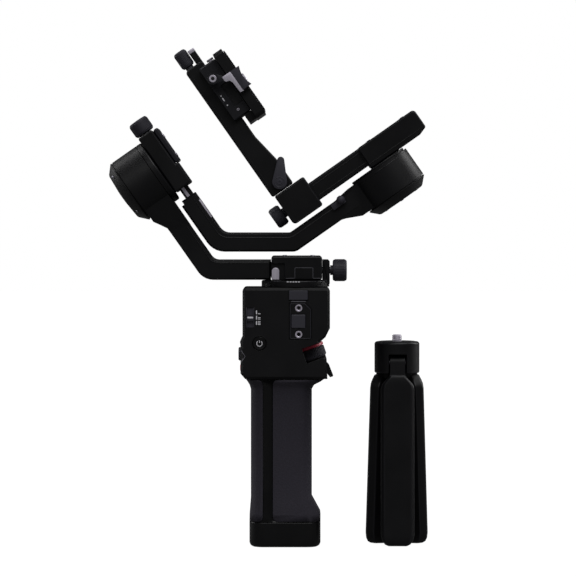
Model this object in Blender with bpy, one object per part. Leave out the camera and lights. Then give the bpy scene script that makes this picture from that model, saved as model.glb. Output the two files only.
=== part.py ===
"""Three-axis gimbal stabilizer for a small camera, with its mini tripod standing beside it.

Sizes are in millimetres and turned into metres by MM. +Z is up, +X is the trigger side and -Y is the
side with the power button. The pan axis is the Z axis, and Z = 0 is the underside of the grip.
The roll and tilt motors are parked at 35 degrees, so their pieces are drawn in a frame leaned by
PARK_ANGLE about the point where the roll and tilt axes cross: its X is the roll axis and its Z is the
tilt axis.
"""

import math

import bmesh
import bpy
from mathutils import Matrix, Vector

MM = 0.001
GAP = 0.3  # clearance between touching pieces
PARK_ANGLE = 35.0
AXES_CROSS = (8.3, 0.0, 310.5)  # where the roll and tilt axes meet

# Grip and head
HANDLE_X = -6.8  # middle of the base, behind the pan axis
BASE_HEIGHT = 16.0
BASE_HALF_DEPTH = 23.0
BASE_HALF_WIDTH = 19.0
GRIP_REAR = -22.1
GRIP_FRONT = 17.4
GRIP_HALF_WIDTH = 17.5
GRIP_TOP = 108.7
GRIP_CORNER = 9.0
PAD_DEPTH = 1.2
PAD_HEIGHT = 91.6
PAD_SEAM_REAR = -14.3
PAD_SEAM_FRONT = -7.8
PAD_CORNER = 3.0
CELL_DIAMETER = 18.4
CELL_LENGTH = 65.0
CELL_CLEARANCE = 0.4
SOCKET_RADIUS = 3.2  # 1/4 inch tripod thread
SOCKET_WALL = 2.2
SOCKET_DEPTH = 12.4
HEAD_HALF_WIDTH = 23.0
HEAD_FRONT = 28.9
HEAD_REAR = -27.3
HEAD_BULGE = -28.6
HEAD_TOP = 167.7
HEAD_WALL = 2.4

# Controls on the head
DIAL_CENTRE = (14.0, 124.2)
DIAL_TILT = 18.7
DIAL_RADIUS = 12.4
DIAL_HEIGHT = 9.1
DIAL_STRIPE = 1.9
TRIGGER_PIVOT = (25.2, 117.2)
TRIGGER_WIDTH = 11.8
JOYSTICK_Z = 124.2
JOYSTICK_PIVOT_X = -25.0
JOYSTICK_RADIUS = 4.4
JOYSTICK_WELL = 6.0
POWER_BUTTON = (-16.4, 131.9, 4.3)
RECORD_BUTTON = (115.2, 2.2)
MENU_BUTTON = (131.8, 2.0, 7.0)
SWITCH_SLOT = (-24.7, -19.9, 142.0, 155.2)
SWITCH_LENGTH = 4.4
PORT_PLATE = (2.9, 16.9, 134.7, 157.9)
PORT_INSERTS_X = 8.8
PORT_INSERTS_Z = (137.7, 154.6)
PORT_INSERT_RADIUS = 2.3
CONTACT_COVER = (3.8, 13.4, 141.5, 150.8)
FLAP = (2.6, 14.6, 159.9, 166.0)
SCREEN = (-15.0, 12.0, 133.5, 160.0)

# Motors
ROTOR_RADIUS = 22.0
ROTOR_THICKNESS = 4.1
STATOR_RADIUS = 18.4
SHAFT_RADIUS = 4.4
SHAFT_CLEARANCE = 0.6

# Arms and their clamps
PAN_PLATE_Z = 168.0
ARM_LEVEL = 179.0
ARM_THICKNESS = 13.0
ARM_WIDTH = 20.0
RAIL_WIDTH = 16.0
RAIL_HEIGHT = 9.6
HOLDER_WIDTH = 28.0
PAN_HOLDER = (-15.6, 17.2, 188.0)
KNOB_RADIUS = 7.2
KNOB_SHAFT = 2.3
ROLL_FACE = -121.4
ROLL_CUP_LENGTH = 18.6
ROLL_CAP_LENGTH = 7.1
ROLL_HOLDER = (-17.8, 24.5)
ROLL_RAIL = (-114.0, -108.2)
ROLL_RAIL_TOP = 15.2
ROLL_ARM_TOP = -24.5
ROLL_ARM_STROKE = 5.0  # how far the arm slides up past the rotor's rim
ROLL_ARM_LEG = -112.75
ROLL_ARM_LEVEL = 196.9
ROLL_ARM_THICKNESS = 12.4
TILT_LEG = -87.4
TILT_FACE = -79.5
TILT_CUP_RADIUS = 21.5
TILT_CUP_LENGTH = 19.9
TILT_CAP_LENGTH = 5.9
TILT_PLATE = 1.3

# Camera side
BLOCK = (-4.6, 39.7, -77.6, -61.7)
SWING_BAR = (-54.0, -75.0, -62.0)
SWING_BAR_WIDTH = 18.0
BRACKET = (-66.3, -43.5, -78.8, -56.4)
BRACKET_WIDTH = 26.0
BRACKET_TUNNEL_END = -63.4
CAMERA_BAR_BACK = -67.6
CAMERA_BAR_FRONT = -54.1
CAMERA_BAR_FOOT = -51.2
CAMERA_BAR_TOP = 42.3
CAMERA_BAR_WIDTH = 24.0
GROOVE_DEPTH = 4.7
PLATFORM = (-1.9, 38.4)
PLATFORM_FACE = -46.8
PLATFORM_SKIRT = 3.6
SKIRT_DROP = 5.4
PLATE = (-9.0, 41.0)
PLATE_THICKNESS = 6.6
PLATE_RIGHT = -20.0
PLATE_LENGTH = 48.0
PAD_THICKNESS = 0.7
SCREW_RADIUS = 3.175  # 1/4 inch camera screw
SCREW_AT = (18.5, 4.0)
LEVER_PIN = (-55.3, 27.9)
LEVER_PIN_RADIUS = 2.3
LEVER_HUB = 3.7
LEVER_ARM = (22.4, 26.2)
THUMB = (-45.2, -36.8, 10.9, 25.2)
CLAMP_RECESS = (-53.8, -47.4, 5.6, 22.0)
BAR_LEVER = (-58.1, -50.6)

# Mini tripod
TRIPOD_X = 66.0
TRIPOD_RADIUS = 14.6
TRIPOD_HEAD = (111.9, 132.3)
LEG_WIDTH = 21.7
LEG_NECK = 10.0
LEG_NECK_CLEARANCE = 0.85
LEG_PIVOT = (8.0, 119.0)
LEG_SHOULDER = 110.4
LEG_SPLAY = 2.0

FINISHES = {
    "shell_plastic": ("111114", 0.48, 0.0),
    "gloss_plastic": ("08080a", 0.2, 0.0),
    "grip_rubber": ("24222a", 0.86, 0.0),
    "arm_alloy": ("101013", 0.42, 0.6),
    "knob_plastic": ("2b2a33", 0.62, 0.0),
    "clamp_alloy": ("1b1b20", 0.5, 0.6),
    "silver_steel": ("c9c7d4", 0.3, 1.0),
    "crimson_plastic": ("b02040", 0.4, 0.0),
    "screen_glass": ("050608", 0.1, 0.0),
    "cell_wrap": ("2f4f7a", 0.4, 0.0),
    "circuit_board": ("123a22", 0.6, 0.0),
    "motor_copper": ("8f5c33", 0.4, 0.9),
    "brass": ("b08d4a", 0.35, 1.0),
}


# ---------------------------------------------------------------- scene and frames


def clear_scene():
    """Remove what the startup scene holds."""
    for item in list(bpy.data.objects):
        bpy.data.objects.remove(item, do_unlink=True)


def channel(pair):
    """One sRGB channel, as two hex digits, in linear light."""
    value = int(pair, 16) / 255
    return value / 12.92 if value <= 0.04045 else ((value + 0.055) / 1.055) ** 2.4


def finish_of(node_name, finish):
    """A Principled material of the named finish, for one node."""
    colour, roughness, metallic = FINISHES[finish]
    material = bpy.data.materials.new(f"{node_name} {finish}")
    material.use_nodes = True
    shader = material.node_tree.nodes["Principled BSDF"]
    rgb = [channel(colour[i : i + 2]) for i in (0, 2, 4)]
    shader.inputs["Base Color"].default_value = (*rgb, 1.0)
    shader.inputs["Roughness"].default_value = roughness
    shader.inputs["Metallic"].default_value = metallic
    material.diffuse_color = (*rgb, 1.0)
    return material


def frame(name, at=(0, 0, 0), lean=0.0, parent=None, turn=0.0):
    """An empty at a point of its parent, leaned towards -X by some degrees or turned about Z."""
    empty = bpy.data.objects.new(name, None)
    empty.location = Vector(at) * MM
    empty.rotation_euler = (0.0, math.radians(-lean), math.radians(turn))
    empty.parent = parent
    bpy.context.scene.collection.objects.link(empty)
    return empty


def link(name, bm, parent, pivot):
    """An object from a bmesh drawn in its parent's frame, with its origin on the pivot."""
    bmesh.ops.translate(bm, verts=bm.verts, vec=-Vector(pivot))
    bmesh.ops.scale(bm, verts=bm.verts, vec=(MM, MM, MM))
    bmesh.ops.recalc_face_normals(bm, faces=bm.faces)
    mesh = bpy.data.meshes.new(name)
    bm.to_mesh(mesh)
    bm.free()
    mesh.shade_smooth()
    mesh.set_sharp_from_angle(angle=math.radians(32))
    thing = bpy.data.objects.new(name, mesh)
    thing.location = Vector(pivot) * MM
    thing.parent = parent
    bpy.context.scene.collection.objects.link(thing)
    return thing


def piece(name, bm, parent, finish, pivot=(0, 0, 0)):
    """A node of the object."""
    thing = link(name, bm, parent, pivot)
    thing.data.materials.append(finish_of(name, finish))
    return thing


def helper(name, bm, parent):
    """A shape that only cuts or joins: left out of the object."""
    thing = link(name, bm, parent, (0, 0, 0))
    thing.hide_render = True
    thing.display_type = "WIRE"
    return thing


def boolean(thing, operation, bm, parent):
    """Cut, join or keep the part of thing that a helper drawn in parent's frame covers."""
    tool = helper(f"tool_{operation}_{thing.name}_{len(thing.modifiers)}".lower(), bm, parent)
    modifier = thing.modifiers.new(f"{operation} {len(thing.modifiers)}", "BOOLEAN")
    modifier.operation = operation
    modifier.object = tool
    return tool


def cut(thing, bm, parent):
    return boolean(thing, "DIFFERENCE", bm, parent)


def join(thing, bm, parent):
    return boolean(thing, "UNION", bm, parent)


# ---------------------------------------------------------------- shapes


def arc(centre, radius, start, end, steps):
    """Points of an arc, angles in degrees."""
    angles = [math.radians(start + (end - start) * i / steps) for i in range(steps + 1)]
    return [(centre[0] + radius * math.cos(a), centre[1] + radius * math.sin(a)) for a in angles]


def rounded(corners, steps=4):
    """An outline whose corners (x, y, radius) are arcs. A corner without a radius stays sharp."""
    points = []
    for i, corner in enumerate(corners):
        here = Vector(corner[:2])
        radius = corner[2] if len(corner) > 2 else 0.0
        before = (Vector(corners[i - 1][:2]) - here).normalized()
        after = (Vector(corners[(i + 1) % len(corners)][:2]) - here).normalized()
        half = before.angle(after) / 2
        if not radius or half > math.radians(89):
            points.append(tuple(here))
            continue
        reach = radius / math.tan(half)
        centre = here + (before + after).normalized() * radius / math.sin(half)
        start = here + before * reach - centre
        sweep = start.angle_signed(here + after * reach - centre)
        for step in range(steps + 1):
            points.append(tuple(centre + Matrix.Rotation(-sweep * step / steps, 2) @ start))
    return points


def prism(outline, span, plane="XZ"):
    """An outline pulled along the third axis between two values."""
    place = {
        "XZ": lambda u, v, w: (u, w, v),
        "XY": lambda u, v, w: (u, v, w),
        "YZ": lambda u, v, w: (w, u, v),
    }[plane]
    bm = bmesh.new()
    bottom = bm.faces.new([bm.verts.new(place(u, v, span[0])) for u, v, *_ in outline])
    pulled = bmesh.ops.extrude_face_region(bm, geom=[bottom])["geom"]
    moved = [item for item in pulled if isinstance(item, bmesh.types.BMVert)]
    bmesh.ops.translate(bm, verts=moved, vec=Vector(place(0, 0, span[1] - span[0])))
    return bm


def rectangle(u, v, radius=0.0):
    """A rectangle from two spans, with round corners."""
    return [(u[0], v[0], radius), (u[1], v[0], radius), (u[1], v[1], radius), (u[0], v[1], radius)]


def box(x, y, z):
    """A box from three spans."""
    return prism([(x[0], z[0]), (x[1], z[0]), (x[1], z[1]), (x[0], z[1])], y)


def chamfered(bm, width, keep=lambda a, b: True):
    """Bevel the edges whose two ends pass the test."""
    edges = [e for e in bm.edges if keep(*(v.co for v in e.verts))]
    bmesh.ops.bevel(bm, geom=edges, offset=width, segments=1, affect="EDGES")
    return bm


def rim_of(bm, width, axis, values):
    """Bevel the edges that lie on planes at these values of an axis."""
    return chamfered(
        bm, width, lambda a, b: any(abs(a[axis] - v) + abs(b[axis] - v) < 1e-4 for v in values)
    )


AXIS_TURNS = {
    "Z": Matrix.Identity(4),
    "X": Matrix.Rotation(math.radians(90), 4, "Y"),
    "Y": Matrix.Rotation(math.radians(-90), 4, "X"),
}


def turned(profile, centre=(0, 0, 0), axis="Z", segments=32):
    """A profile of (radius, height) points spun about an axis through centre."""
    bm = bmesh.new()
    verts = [bm.verts.new((radius, 0.0, height)) for radius, height in profile]
    closed = profile[0][0] > 0 and profile[-1][0] > 0
    loop = verts + verts[:1] if closed else verts
    edges = [bm.edges.new(pair) for pair in zip(loop, loop[1:])]
    bmesh.ops.spin(
        bm, geom=verts + edges, cent=(0, 0, 0), axis=(0, 0, 1), dvec=(0, 0, 0),
        angle=math.tau, steps=segments, use_merge=True, use_duplicate=False,
    )  # fmt: skip
    bmesh.ops.remove_doubles(bm, verts=bm.verts, dist=1e-4)
    bm.transform(Matrix.Translation(Vector(centre)) @ AXIS_TURNS[axis])
    return bm


def rod(radius, span, centre=(0, 0), axis="Z", segments=24, bevel=0.0):
    """A cylinder. centre holds the two coordinates across the axis, in X, Y, Z order."""
    low, high = span
    place = {"X": (0, *centre), "Y": (centre[0], 0, centre[1]), "Z": (*centre, 0)}[axis]
    profile = [(0, low), (radius - bevel, low), (radius, low + bevel)]
    profile += [(radius, high - bevel), (radius - bevel, high), (0, high)]
    return turned(profile if bevel else [(0, low), (radius, low), (radius, high), (0, high)],
                  place, axis, segments)  # fmt: skip


def tube(outer, inner, span, centre=(0, 0), axis="Z", segments=24):
    """A ring with a round hole."""
    place = {"X": (0, *centre), "Y": (centre[0], 0, centre[1]), "Z": (*centre, 0)}[axis]
    low, high = span
    return turned([(inner, low), (outer, low), (outer, high), (inner, high)],
                  place, axis, segments)  # fmt: skip


def loft(sections):
    """A solid through level outlines with the same number of points, lowest first."""
    bm = bmesh.new()
    rings = [[bm.verts.new((x, y, z)) for x, y in points] for z, points in sections]
    for lower, upper in zip(rings, rings[1:]):
        for i in range(len(lower)):
            j = (i + 1) % len(lower)
            bm.faces.new((lower[i], lower[j], upper[j], upper[i]))
    bm.faces.new(reversed(rings[0]))
    bm.faces.new(rings[-1])
    return bm


def arm_outline(path, thickness, bends):
    """Outline of a flat bar along a path. bends holds (outer, inner) radii, one pair per bend."""
    path = [Vector(point) for point in path]
    sides = ([], [])
    for i, point in enumerate(path):
        ahead = (path[i + 1] - point).normalized() if i + 1 < len(path) else None
        behind = (point - path[i - 1]).normalized() if i else None
        along = ((ahead or behind) + (behind or ahead)).normalized()
        across = Vector((-along.y, along.x))
        reach = thickness / 2 / across.dot(Vector((-(ahead or behind).y, (ahead or behind).x)))
        turn = behind.cross(ahead) if ahead and behind else 0.0
        for side, sign in zip(sides, (1, -1)):
            outer, inner = bends[i - 1] if turn else (0.0, 0.0)
            radius = inner if turn * sign > 0 else outer
            side.append((*(point + across * reach * sign), radius))
    return sides[0] + sides[1][::-1]


def grip_section(rear, front, half_width, inset=0.0):
    """Level section of the grip: a rectangle with round corners, drawn in by an inset."""
    corners = rectangle(
        (rear + inset, front - inset), (inset - half_width, half_width - inset), GRIP_CORNER - inset
    )
    return rounded(corners, 5)


def grip_solid(inset=0.0, past=0.0):
    """The grip's outer form between the base cap and the head."""
    bottom = BASE_HEIGHT + GAP
    levels = [
        (bottom - past, -BASE_HALF_DEPTH, BASE_HALF_DEPTH, BASE_HALF_WIDTH),
        (bottom + 5.2, 0.1 - BASE_HALF_DEPTH, BASE_HALF_DEPTH, BASE_HALF_WIDTH),
        (bottom + 15.6, GRIP_REAR, GRIP_FRONT, GRIP_HALF_WIDTH),
        (GRIP_TOP - 6.7, GRIP_REAR, GRIP_FRONT, GRIP_HALF_WIDTH),
        (GRIP_TOP - 4.1, GRIP_REAR - 0.8, GRIP_FRONT + 1.5, GRIP_HALF_WIDTH + 0.7),
        (GRIP_TOP - 2.1, GRIP_REAR - 1.9, GRIP_FRONT + 5.3, GRIP_HALF_WIDTH + 2.3),
        (GRIP_TOP + past, GRIP_REAR - 3.3, GRIP_FRONT + 8.2, GRIP_HALF_WIDTH + 4.0),
    ]
    return loft([(z, grip_section(*sizes, inset)) for z, *sizes in levels])


# ---------------------------------------------------------------- grip


def pad_region(seam, edge, clearance):
    """The block of space that one grip pad fills, grown by a clearance."""
    low = BASE_HEIGHT + GAP + 0.4 - clearance
    high = low + PAD_HEIGHT + 2 * clearance
    near = seam + math.copysign(clearance, seam - edge)
    radius = PAD_CORNER + clearance
    outline = [(near, low, radius), (edge, low), (edge, high), (near, high, radius)]
    return prism(rounded(outline), (-30, 30))


def cell_centres():
    """Where the two cells stand, corner to corner in the grip."""
    bore = CELL_DIAMETER + 2 * CELL_CLEARANCE
    spacing = CELL_DIAMETER + CELL_CLEARANCE
    room = GRIP_FRONT - GRIP_REAR - 2 * (PAD_DEPTH + 1.15) - bore
    dx = min(spacing, room)
    dy = math.sqrt(max(0.0, spacing**2 - dx**2))
    middle = (GRIP_FRONT + GRIP_REAR) / 2
    return [(middle + s * dx / 2, s * dy / 2) for s in (1, -1)]


def build_grip(handle):
    core = piece("grip_core", grip_solid(), handle, "gloss_plastic")
    for name, seam, edge in (
        ("grip_front_pad", PAD_SEAM_FRONT, BASE_HALF_DEPTH + 8),
        ("grip_rear_pad", PAD_SEAM_REAR, -BASE_HALF_DEPTH - 8),
    ):
        pad = piece(name, grip_solid(), handle, "grip_rubber")
        boolean(pad, "INTERSECT", pad_region(seam, edge, 0.0), handle)
        cut(pad, grip_solid(PAD_DEPTH, 2.0), handle)
        recess = cut(core, pad_region(seam, edge, GAP), handle)
        cut(recess, grip_solid(PAD_DEPTH + GAP, 2.0), handle)
    bottom = BASE_HEIGHT + GAP
    bore = CELL_DIAMETER / 2 + CELL_CLEARANCE
    for name, centre in zip(("battery_cell_front", "battery_cell_rear"), cell_centres()):
        cut(core, rod(bore, (bottom - 2, bottom + CELL_LENGTH + 3), centre, segments=32), handle)
        piece(name, battery_cell(centre, bottom + GAP), handle, "cell_wrap")
    middle = (GRIP_FRONT + GRIP_REAR) / 2
    cut(core, rod(4.0, (bottom + CELL_LENGTH, GRIP_TOP + 1), (middle, 0)), handle)


def battery_cell(centre, bottom):
    """A cylindrical cell with its raised top contact."""
    radius = CELL_DIAMETER / 2
    top = bottom + CELL_LENGTH
    profile = [(0, bottom), (radius - 0.5, bottom), (radius, bottom + 0.5), (radius, top - 1.6)]
    profile += [(radius - 0.6, top - 1.0), (3.4, top - 1.0), (3.4, top), (0, top)]
    return turned(profile, (*centre, 0), "Z", 32)


def build_base(handle):
    sizes = (-BASE_HALF_DEPTH, BASE_HALF_DEPTH, BASE_HALF_WIDTH)
    levels = ((0.0, 2.4), (0.8, 0.8), (2.6, 0.0), (BASE_HEIGHT, 0.0))
    bm = loft([(z, grip_section(*sizes, inset)) for z, inset in levels])
    cap = piece("base_cap", bm, handle, "gloss_plastic")
    wall = SOCKET_RADIUS + SOCKET_WALL
    cut(cap, rod(wall + GAP, (-1, SOCKET_DEPTH + 2 * GAP)), handle)
    socket = tube(wall, SOCKET_RADIUS, (GAP, SOCKET_DEPTH + GAP))
    piece("base_thread_insert", socket, handle, "brass")


# ---------------------------------------------------------------- head


def head_outline():
    """Side outline of the head, from its lower rear corner."""
    nose = GRIP_FRONT + 9.9
    return rounded([
        (GRIP_REAR - 3.5, GRIP_TOP + GAP), (HEAD_BULGE, 112.5), (HEAD_BULGE, 133.8),
        (HEAD_REAR, 136.0), (HEAD_REAR, HEAD_TOP, 2.2), (HEAD_FRONT, HEAD_TOP, 2.2),
        (HEAD_FRONT, 141.7), (26.0, 135.9), (22.75, 133.0), (24.5, 125.5), (26.8, 122.0),
        (nose, GRIP_TOP + GAP),
    ], 3)  # fmt: skip


def head_hollow():
    """Side outline of the space for the motor and the board."""
    rear = HEAD_REAR + HEAD_WALL
    front = HEAD_FRONT - HEAD_WALL
    return [
        (HEAD_BULGE + HEAD_WALL, 111.5), (-2.0, 111.5), (-2.0, 138.0), (22.5, 138.0),
        (front, 142.3), (front, HEAD_TOP - HEAD_WALL), (rear, HEAD_TOP - HEAD_WALL),
        (rear, 135.0), (HEAD_BULGE + HEAD_WALL, 133.2),
    ]  # fmt: skip


def head_cuts(shell, handle, pan_x, dial_frame):
    """Openings that both shells share."""
    inner = HEAD_HALF_WIDTH - HEAD_WALL
    cut(shell, prism(head_hollow(), (-inner, inner)), handle)
    cut(shell, rod(SHAFT_RADIUS + SHAFT_CLEARANCE, (150, HEAD_TOP + 2), (pan_x, 0)), handle)
    pocket = DIAL_HEIGHT / 2 + 0.5
    cut(shell, rod(DIAL_RADIUS + 0.5, (-pocket, pocket), segments=40), dial_frame)
    notch = pocket + 0.1
    cut(shell, box((-1.7, 24), (-30, 30), (-notch, notch)), dial_frame)
    half = TRIGGER_WIDTH / 2 + 0.4
    cut(shell, box((21.4, 34), (-half, half), (GRIP_TOP - 1, 119.7)), handle)
    rear = (HEAD_BULGE - 2, HEAD_BULGE + HEAD_WALL + 1)
    cut(shell, rod(JOYSTICK_WELL, rear, (0, JOYSTICK_Z), "X", 24), handle)
    z, radius = RECORD_BUTTON
    cut(shell, rod(radius + GAP, rear, (0, z), "X", 16), handle)
    z, tall, wide = MENU_BUTTON
    half = (wide / 2 + GAP, tall / 2 + GAP)
    cut(shell, box(rear, (-half[0], half[0]), (z - half[1], z + half[1])), handle)


def build_head(handle, dial_frame):
    pan_x = -HANDLE_X
    shells = {}
    for name, side in (("head_shell_right", -1), ("head_shell_left", 1)):
        span = sorted((side * GAP / 2, side * HEAD_HALF_WIDTH))
        bm = rim_of(prism(head_outline(), span), 1.6, 1, [side * HEAD_HALF_WIDTH])
        shells[side] = piece(name, bm, handle, "shell_plastic")
        head_cuts(shells[side], handle, pan_x, dial_frame)
    stator_ring(
        "pan_stator", handle, (pan_x, 0), "Z", (147.0, HEAD_TOP - HEAD_WALL - 0.4)
    )
    board = box((-21.5, -4.0), (-0.8, 0.8), (113.0, 145.0))
    piece("main_board", board, handle, "circuit_board")
    right_side_fittings(shells[-1], handle)
    x0, x1, z0, z1 = SCREEN
    cut(shells[1], box((x0 - GAP, x1 + GAP), (HEAD_HALF_WIDTH - 1.5, 30), (z0 - GAP, z1 + GAP)),
        handle)  # fmt: skip
    glass = prism(rectangle((x0, x1), (z0, z1)), (HEAD_HALF_WIDTH - 1.2, HEAD_HALF_WIDTH - 0.1))
    piece("touch_screen", glass, handle, "screen_glass")


def stator_ring(name, parent, centre, axis, span):
    """The wound stator of one motor, with a hole for the rotor's shaft."""
    bore = SHAFT_RADIUS + SHAFT_CLEARANCE
    piece(name, tube(STATOR_RADIUS, bore, span, centre, axis, 36), parent, "motor_copper")


def port_outline(clearance):
    """The accessory plate's outline: a rectangle with its upper front corner cut off."""
    x0, x1, z0, z1 = PORT_PLATE
    x0, z0 = x0 - clearance, z0 - clearance
    x1, z1 = x1 + clearance, z1 + clearance
    return [(x0, z0), (x1, z0), (x1, z1 - 4.0), (x1 - 4.0, z1), (x0, z1)]


def right_side_fittings(shell, handle):
    """The accessory port, port flap, power button and mode switch on the -Y side."""
    face = -HEAD_HALF_WIDTH
    cut(shell, prism(port_outline(GAP), (face - 5, face + 1.5)), handle)
    plate = piece("accessory_plate", prism(port_outline(0), (face + 0.1, face + 1.2)), handle,
                  "gloss_plastic")  # fmt: skip
    for name, z in zip(("port_insert_lower", "port_insert_upper"), PORT_INSERTS_Z):
        at = (PORT_INSERTS_X, z)
        hole = PORT_INSERT_RADIUS + GAP
        cut(plate, rod(hole, (face - 5, face + 3), at, "Y", 20), handle)
        cut(shell, rod(hole, (face - 5, face + 3), at, "Y", 20), handle)
        ring = tube(PORT_INSERT_RADIUS, 1.4, (face, face + 2.7), at, "Y", 20)
        piece(name, ring, handle, "silver_steel")
    x0, x1, z0, z1 = CONTACT_COVER
    cut(plate, box((x0, x1), (face - 5, face + 5), (z0, z1)), handle)
    cover = box((x0 + GAP, x1 - GAP), (face - 0.4, face + 1.2), (z0 + GAP, z1 - GAP))
    piece("contact_cover", chamfered(cover, 0.3), handle, "knob_plastic")
    x0, x1, z0, z1 = FLAP
    cut(shell, box((x0 - GAP, x1 + GAP), (face - 5, face + 1.9), (z0 - 0.7, z1 + GAP)), handle)
    flap = box((x0, x1), (face, face + 1.2), (z0, z1))
    piece("port_flap", flap, handle, "shell_plastic", (0, face + 0.6, z0 + 0.8))
    x, z, radius = POWER_BUTTON
    cut(shell, rod(radius + GAP, (face - 5, face + 5), (x, z), "Y", 24), handle)
    button = rod(radius, (face - 0.3, face + 3.0), (x, z), "Y", 24, 0.3)
    piece("power_button", button, handle, "gloss_plastic", (x, face, z))
    x0, x1, z0, z1 = SWITCH_SLOT
    cut(shell, box((x0, x1), (face - 5, face + 1.4), (z0, z1)), handle)
    middle = (z0 + z1) / 2
    half = SWITCH_LENGTH / 2
    slider = box((x0 + GAP, x1 - GAP), (face - 0.7, face + 1.1), (middle - half, middle + half))
    piece("mode_switch", chamfered(slider, 0.4), handle, "knob_plastic", (0, face, middle))


def build_controls(handle, dial_frame):
    half = DIAL_HEIGHT / 2
    step = DIAL_RADIUS - 1.8
    ring_low = half - DIAL_STRIPE
    profile = [(0, -half), (DIAL_RADIUS - 0.6, -half), (DIAL_RADIUS, 0.6 - half)]
    profile += [(DIAL_RADIUS, ring_low - GAP), (step - GAP, ring_low - GAP), (step - GAP, half), (0, half)]
    piece("front_dial", turned(profile, segments=40), dial_frame, "knob_plastic")
    ring = tube(DIAL_RADIUS, step, (ring_low, half), segments=40)
    piece("dial_ring", ring, dial_frame, "crimson_plastic")
    x, z = TRIGGER_PIVOT
    outline = rounded([
        (x - 2.0, z + 1.6), (x + 2.0, z + 1.6, 0.8), (x + 3.4, z + 0.1, 0.5), (x + 6.3, z - 7.35, 0.6),
        (x + 4.05, z - 8.0, 0.5), (x + 2.4, z - 6.0), (x + 0.4, z - 3.0, 1.5), (x - 2.0, z - 1.4),
    ], 3)  # fmt: skip
    blade = rim_of(prism(outline, (-TRIGGER_WIDTH / 2, TRIGGER_WIDTH / 2)), 0.4, 1,
                   [-TRIGGER_WIDTH / 2, TRIGGER_WIDTH / 2])  # fmt: skip
    piece("trigger", blade, handle, "knob_plastic", (x, 0, z))
    pivot = (JOYSTICK_PIVOT_X, 0, JOYSTICK_Z)
    x = JOYSTICK_PIVOT_X
    yoke = rod(3.8, (x - 0.5, x + 1.0), (0, JOYSTICK_Z), "X", 20)
    piece("joystick_yoke", yoke, handle, "arm_alloy", pivot)
    cap = [(0, -1.2), (1.6, -1.2), (1.6, -3.4), (JOYSTICK_RADIUS, -3.6), (JOYSTICK_RADIUS, -4.6)]
    cap += [(JOYSTICK_RADIUS - 0.7, -5.3), (0, -4.9)]
    stick = turned([(radius, x + height) for radius, height in cap], (0, 0, JOYSTICK_Z), "X", 24)
    piece("joystick_cap", stick, handle, "knob_plastic", pivot)
    outside = (HEAD_BULGE - 0.6, HEAD_BULGE + 1.6)
    z, radius = RECORD_BUTTON
    button = rod(radius, outside, (0, z), "X", 20, 0.3)
    piece("record_button", button, handle, "crimson_plastic", (HEAD_BULGE, 0, z))
    z, tall, wide = MENU_BUTTON
    button = box(outside, (-wide / 2, wide / 2), (z - tall / 2, z + tall / 2))
    piece("menu_button", chamfered(button, 0.3), handle, "knob_plastic", (HEAD_BULGE, 0, z))


# ---------------------------------------------------------------- pan axis and lower arm


def clamp_knob(name, parent, axis, centre, span, shaft_end, pivot, radius=KNOB_RADIUS,
               shaft=KNOB_SHAFT):  # fmt: skip
    """A knob on a threaded shaft. span runs from the knob's inner face outwards."""
    inner, outer = span
    out = math.copysign(1.0, outer - inner)
    place = {"X": (0, *centre), "Y": (centre[0], 0, centre[1]), "Z": (*centre, 0)}[axis]
    profile = [(0, shaft_end), (shaft, shaft_end), (shaft, inner), (radius - 0.8, inner)]
    profile += [(radius, inner + 0.8 * out), (radius, outer - 0.8 * out)]
    profile += [(radius - 0.8, outer), (0, outer)]
    piece(name, turned(profile, place, axis, 28), parent, "knob_plastic", pivot)


def build_pan(pan):
    top = PAN_PLATE_Z + ROTOR_THICKNESS
    left, right, roof = PAN_HOLDER
    wall = (right + GAP, right + GAP + 4.7)
    disc = [(0, top), (ROTOR_RADIUS - 0.5, top), (ROTOR_RADIUS, top - 0.5), (ROTOR_RADIUS, PAN_PLATE_Z)]
    disc += [(SHAFT_RADIUS, PAN_PLATE_Z), (SHAFT_RADIUS, 150.0), (0, 150.0)]
    rotor = piece("pan_rotor", turned(disc[::-1], segments=48), pan, "arm_alloy")
    lug = rim_of(box(wall, (-7.5, 7.5), (PAN_PLATE_Z + 1.0, ARM_LEVEL + 6.6)), 1.0, 0, [wall[1]])
    join(rotor, lug, pan)
    knob_z = ARM_LEVEL - 0.4
    hole = KNOB_SHAFT + GAP
    cut(rotor, rod(hole, (right - 1, wall[1] + 2), (0, knob_z), "X", 20), pan)
    half = HOLDER_WIDTH / 2
    profile = rounded(rectangle((left, right), (top + GAP, roof), 1.6), 3)
    holder = piece("pan_arm_holder", rim_of(prism(profile, (-half, half)), 0.8, 1, [-half, half]),
                   pan, "arm_alloy")  # fmt: skip
    rail = RAIL_WIDTH / 2 + 2 * GAP
    tall = RAIL_HEIGHT / 2 + GAP
    end = right - 3.2
    cut(holder, box((left - 2, end), (-rail, rail), (ARM_LEVEL - tall, ARM_LEVEL + tall)), pan)
    cut(holder, rod(hole, (end - 1, right + 2), (0, knob_z), "X", 20), pan)
    recess = (left - 1, left + 8.8)
    cut(holder, box(recess, (-half - 1, 1.6 - half), (top - 1, roof - 4.7)), pan)
    tab = rounded([
        (left + 0.3, top + 0.6), (left + 5.1, top + 0.6), (left + 5.1, top + 8.3, 2.2),
        (left + 0.3, top + 8.3, 2.2),
    ], 5)  # fmt: skip
    lever = prism(tab, (-half - 0.2, 1.3 - half))
    piece("pan_lock_lever", lever, pan, "silver_steel", (left + 2.7, 1.3 - half, top + 4.4))
    knob_start = wall[1] + 2.0
    clamp_knob("pan_knob", pan, "X", (0, knob_z), (knob_start, knob_start + 9.1), end + 0.4,
               (knob_start, 0, knob_z))  # fmt: skip


def park(x, z):
    """A point of the leaned frame, in the X-Z plane of the world."""
    lean = math.radians(PARK_ANGLE)
    return (
        AXES_CROSS[0] + x * math.cos(lean) - z * math.sin(lean),
        AXES_CROSS[2] + x * math.sin(lean) + z * math.cos(lean),
    )


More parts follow.
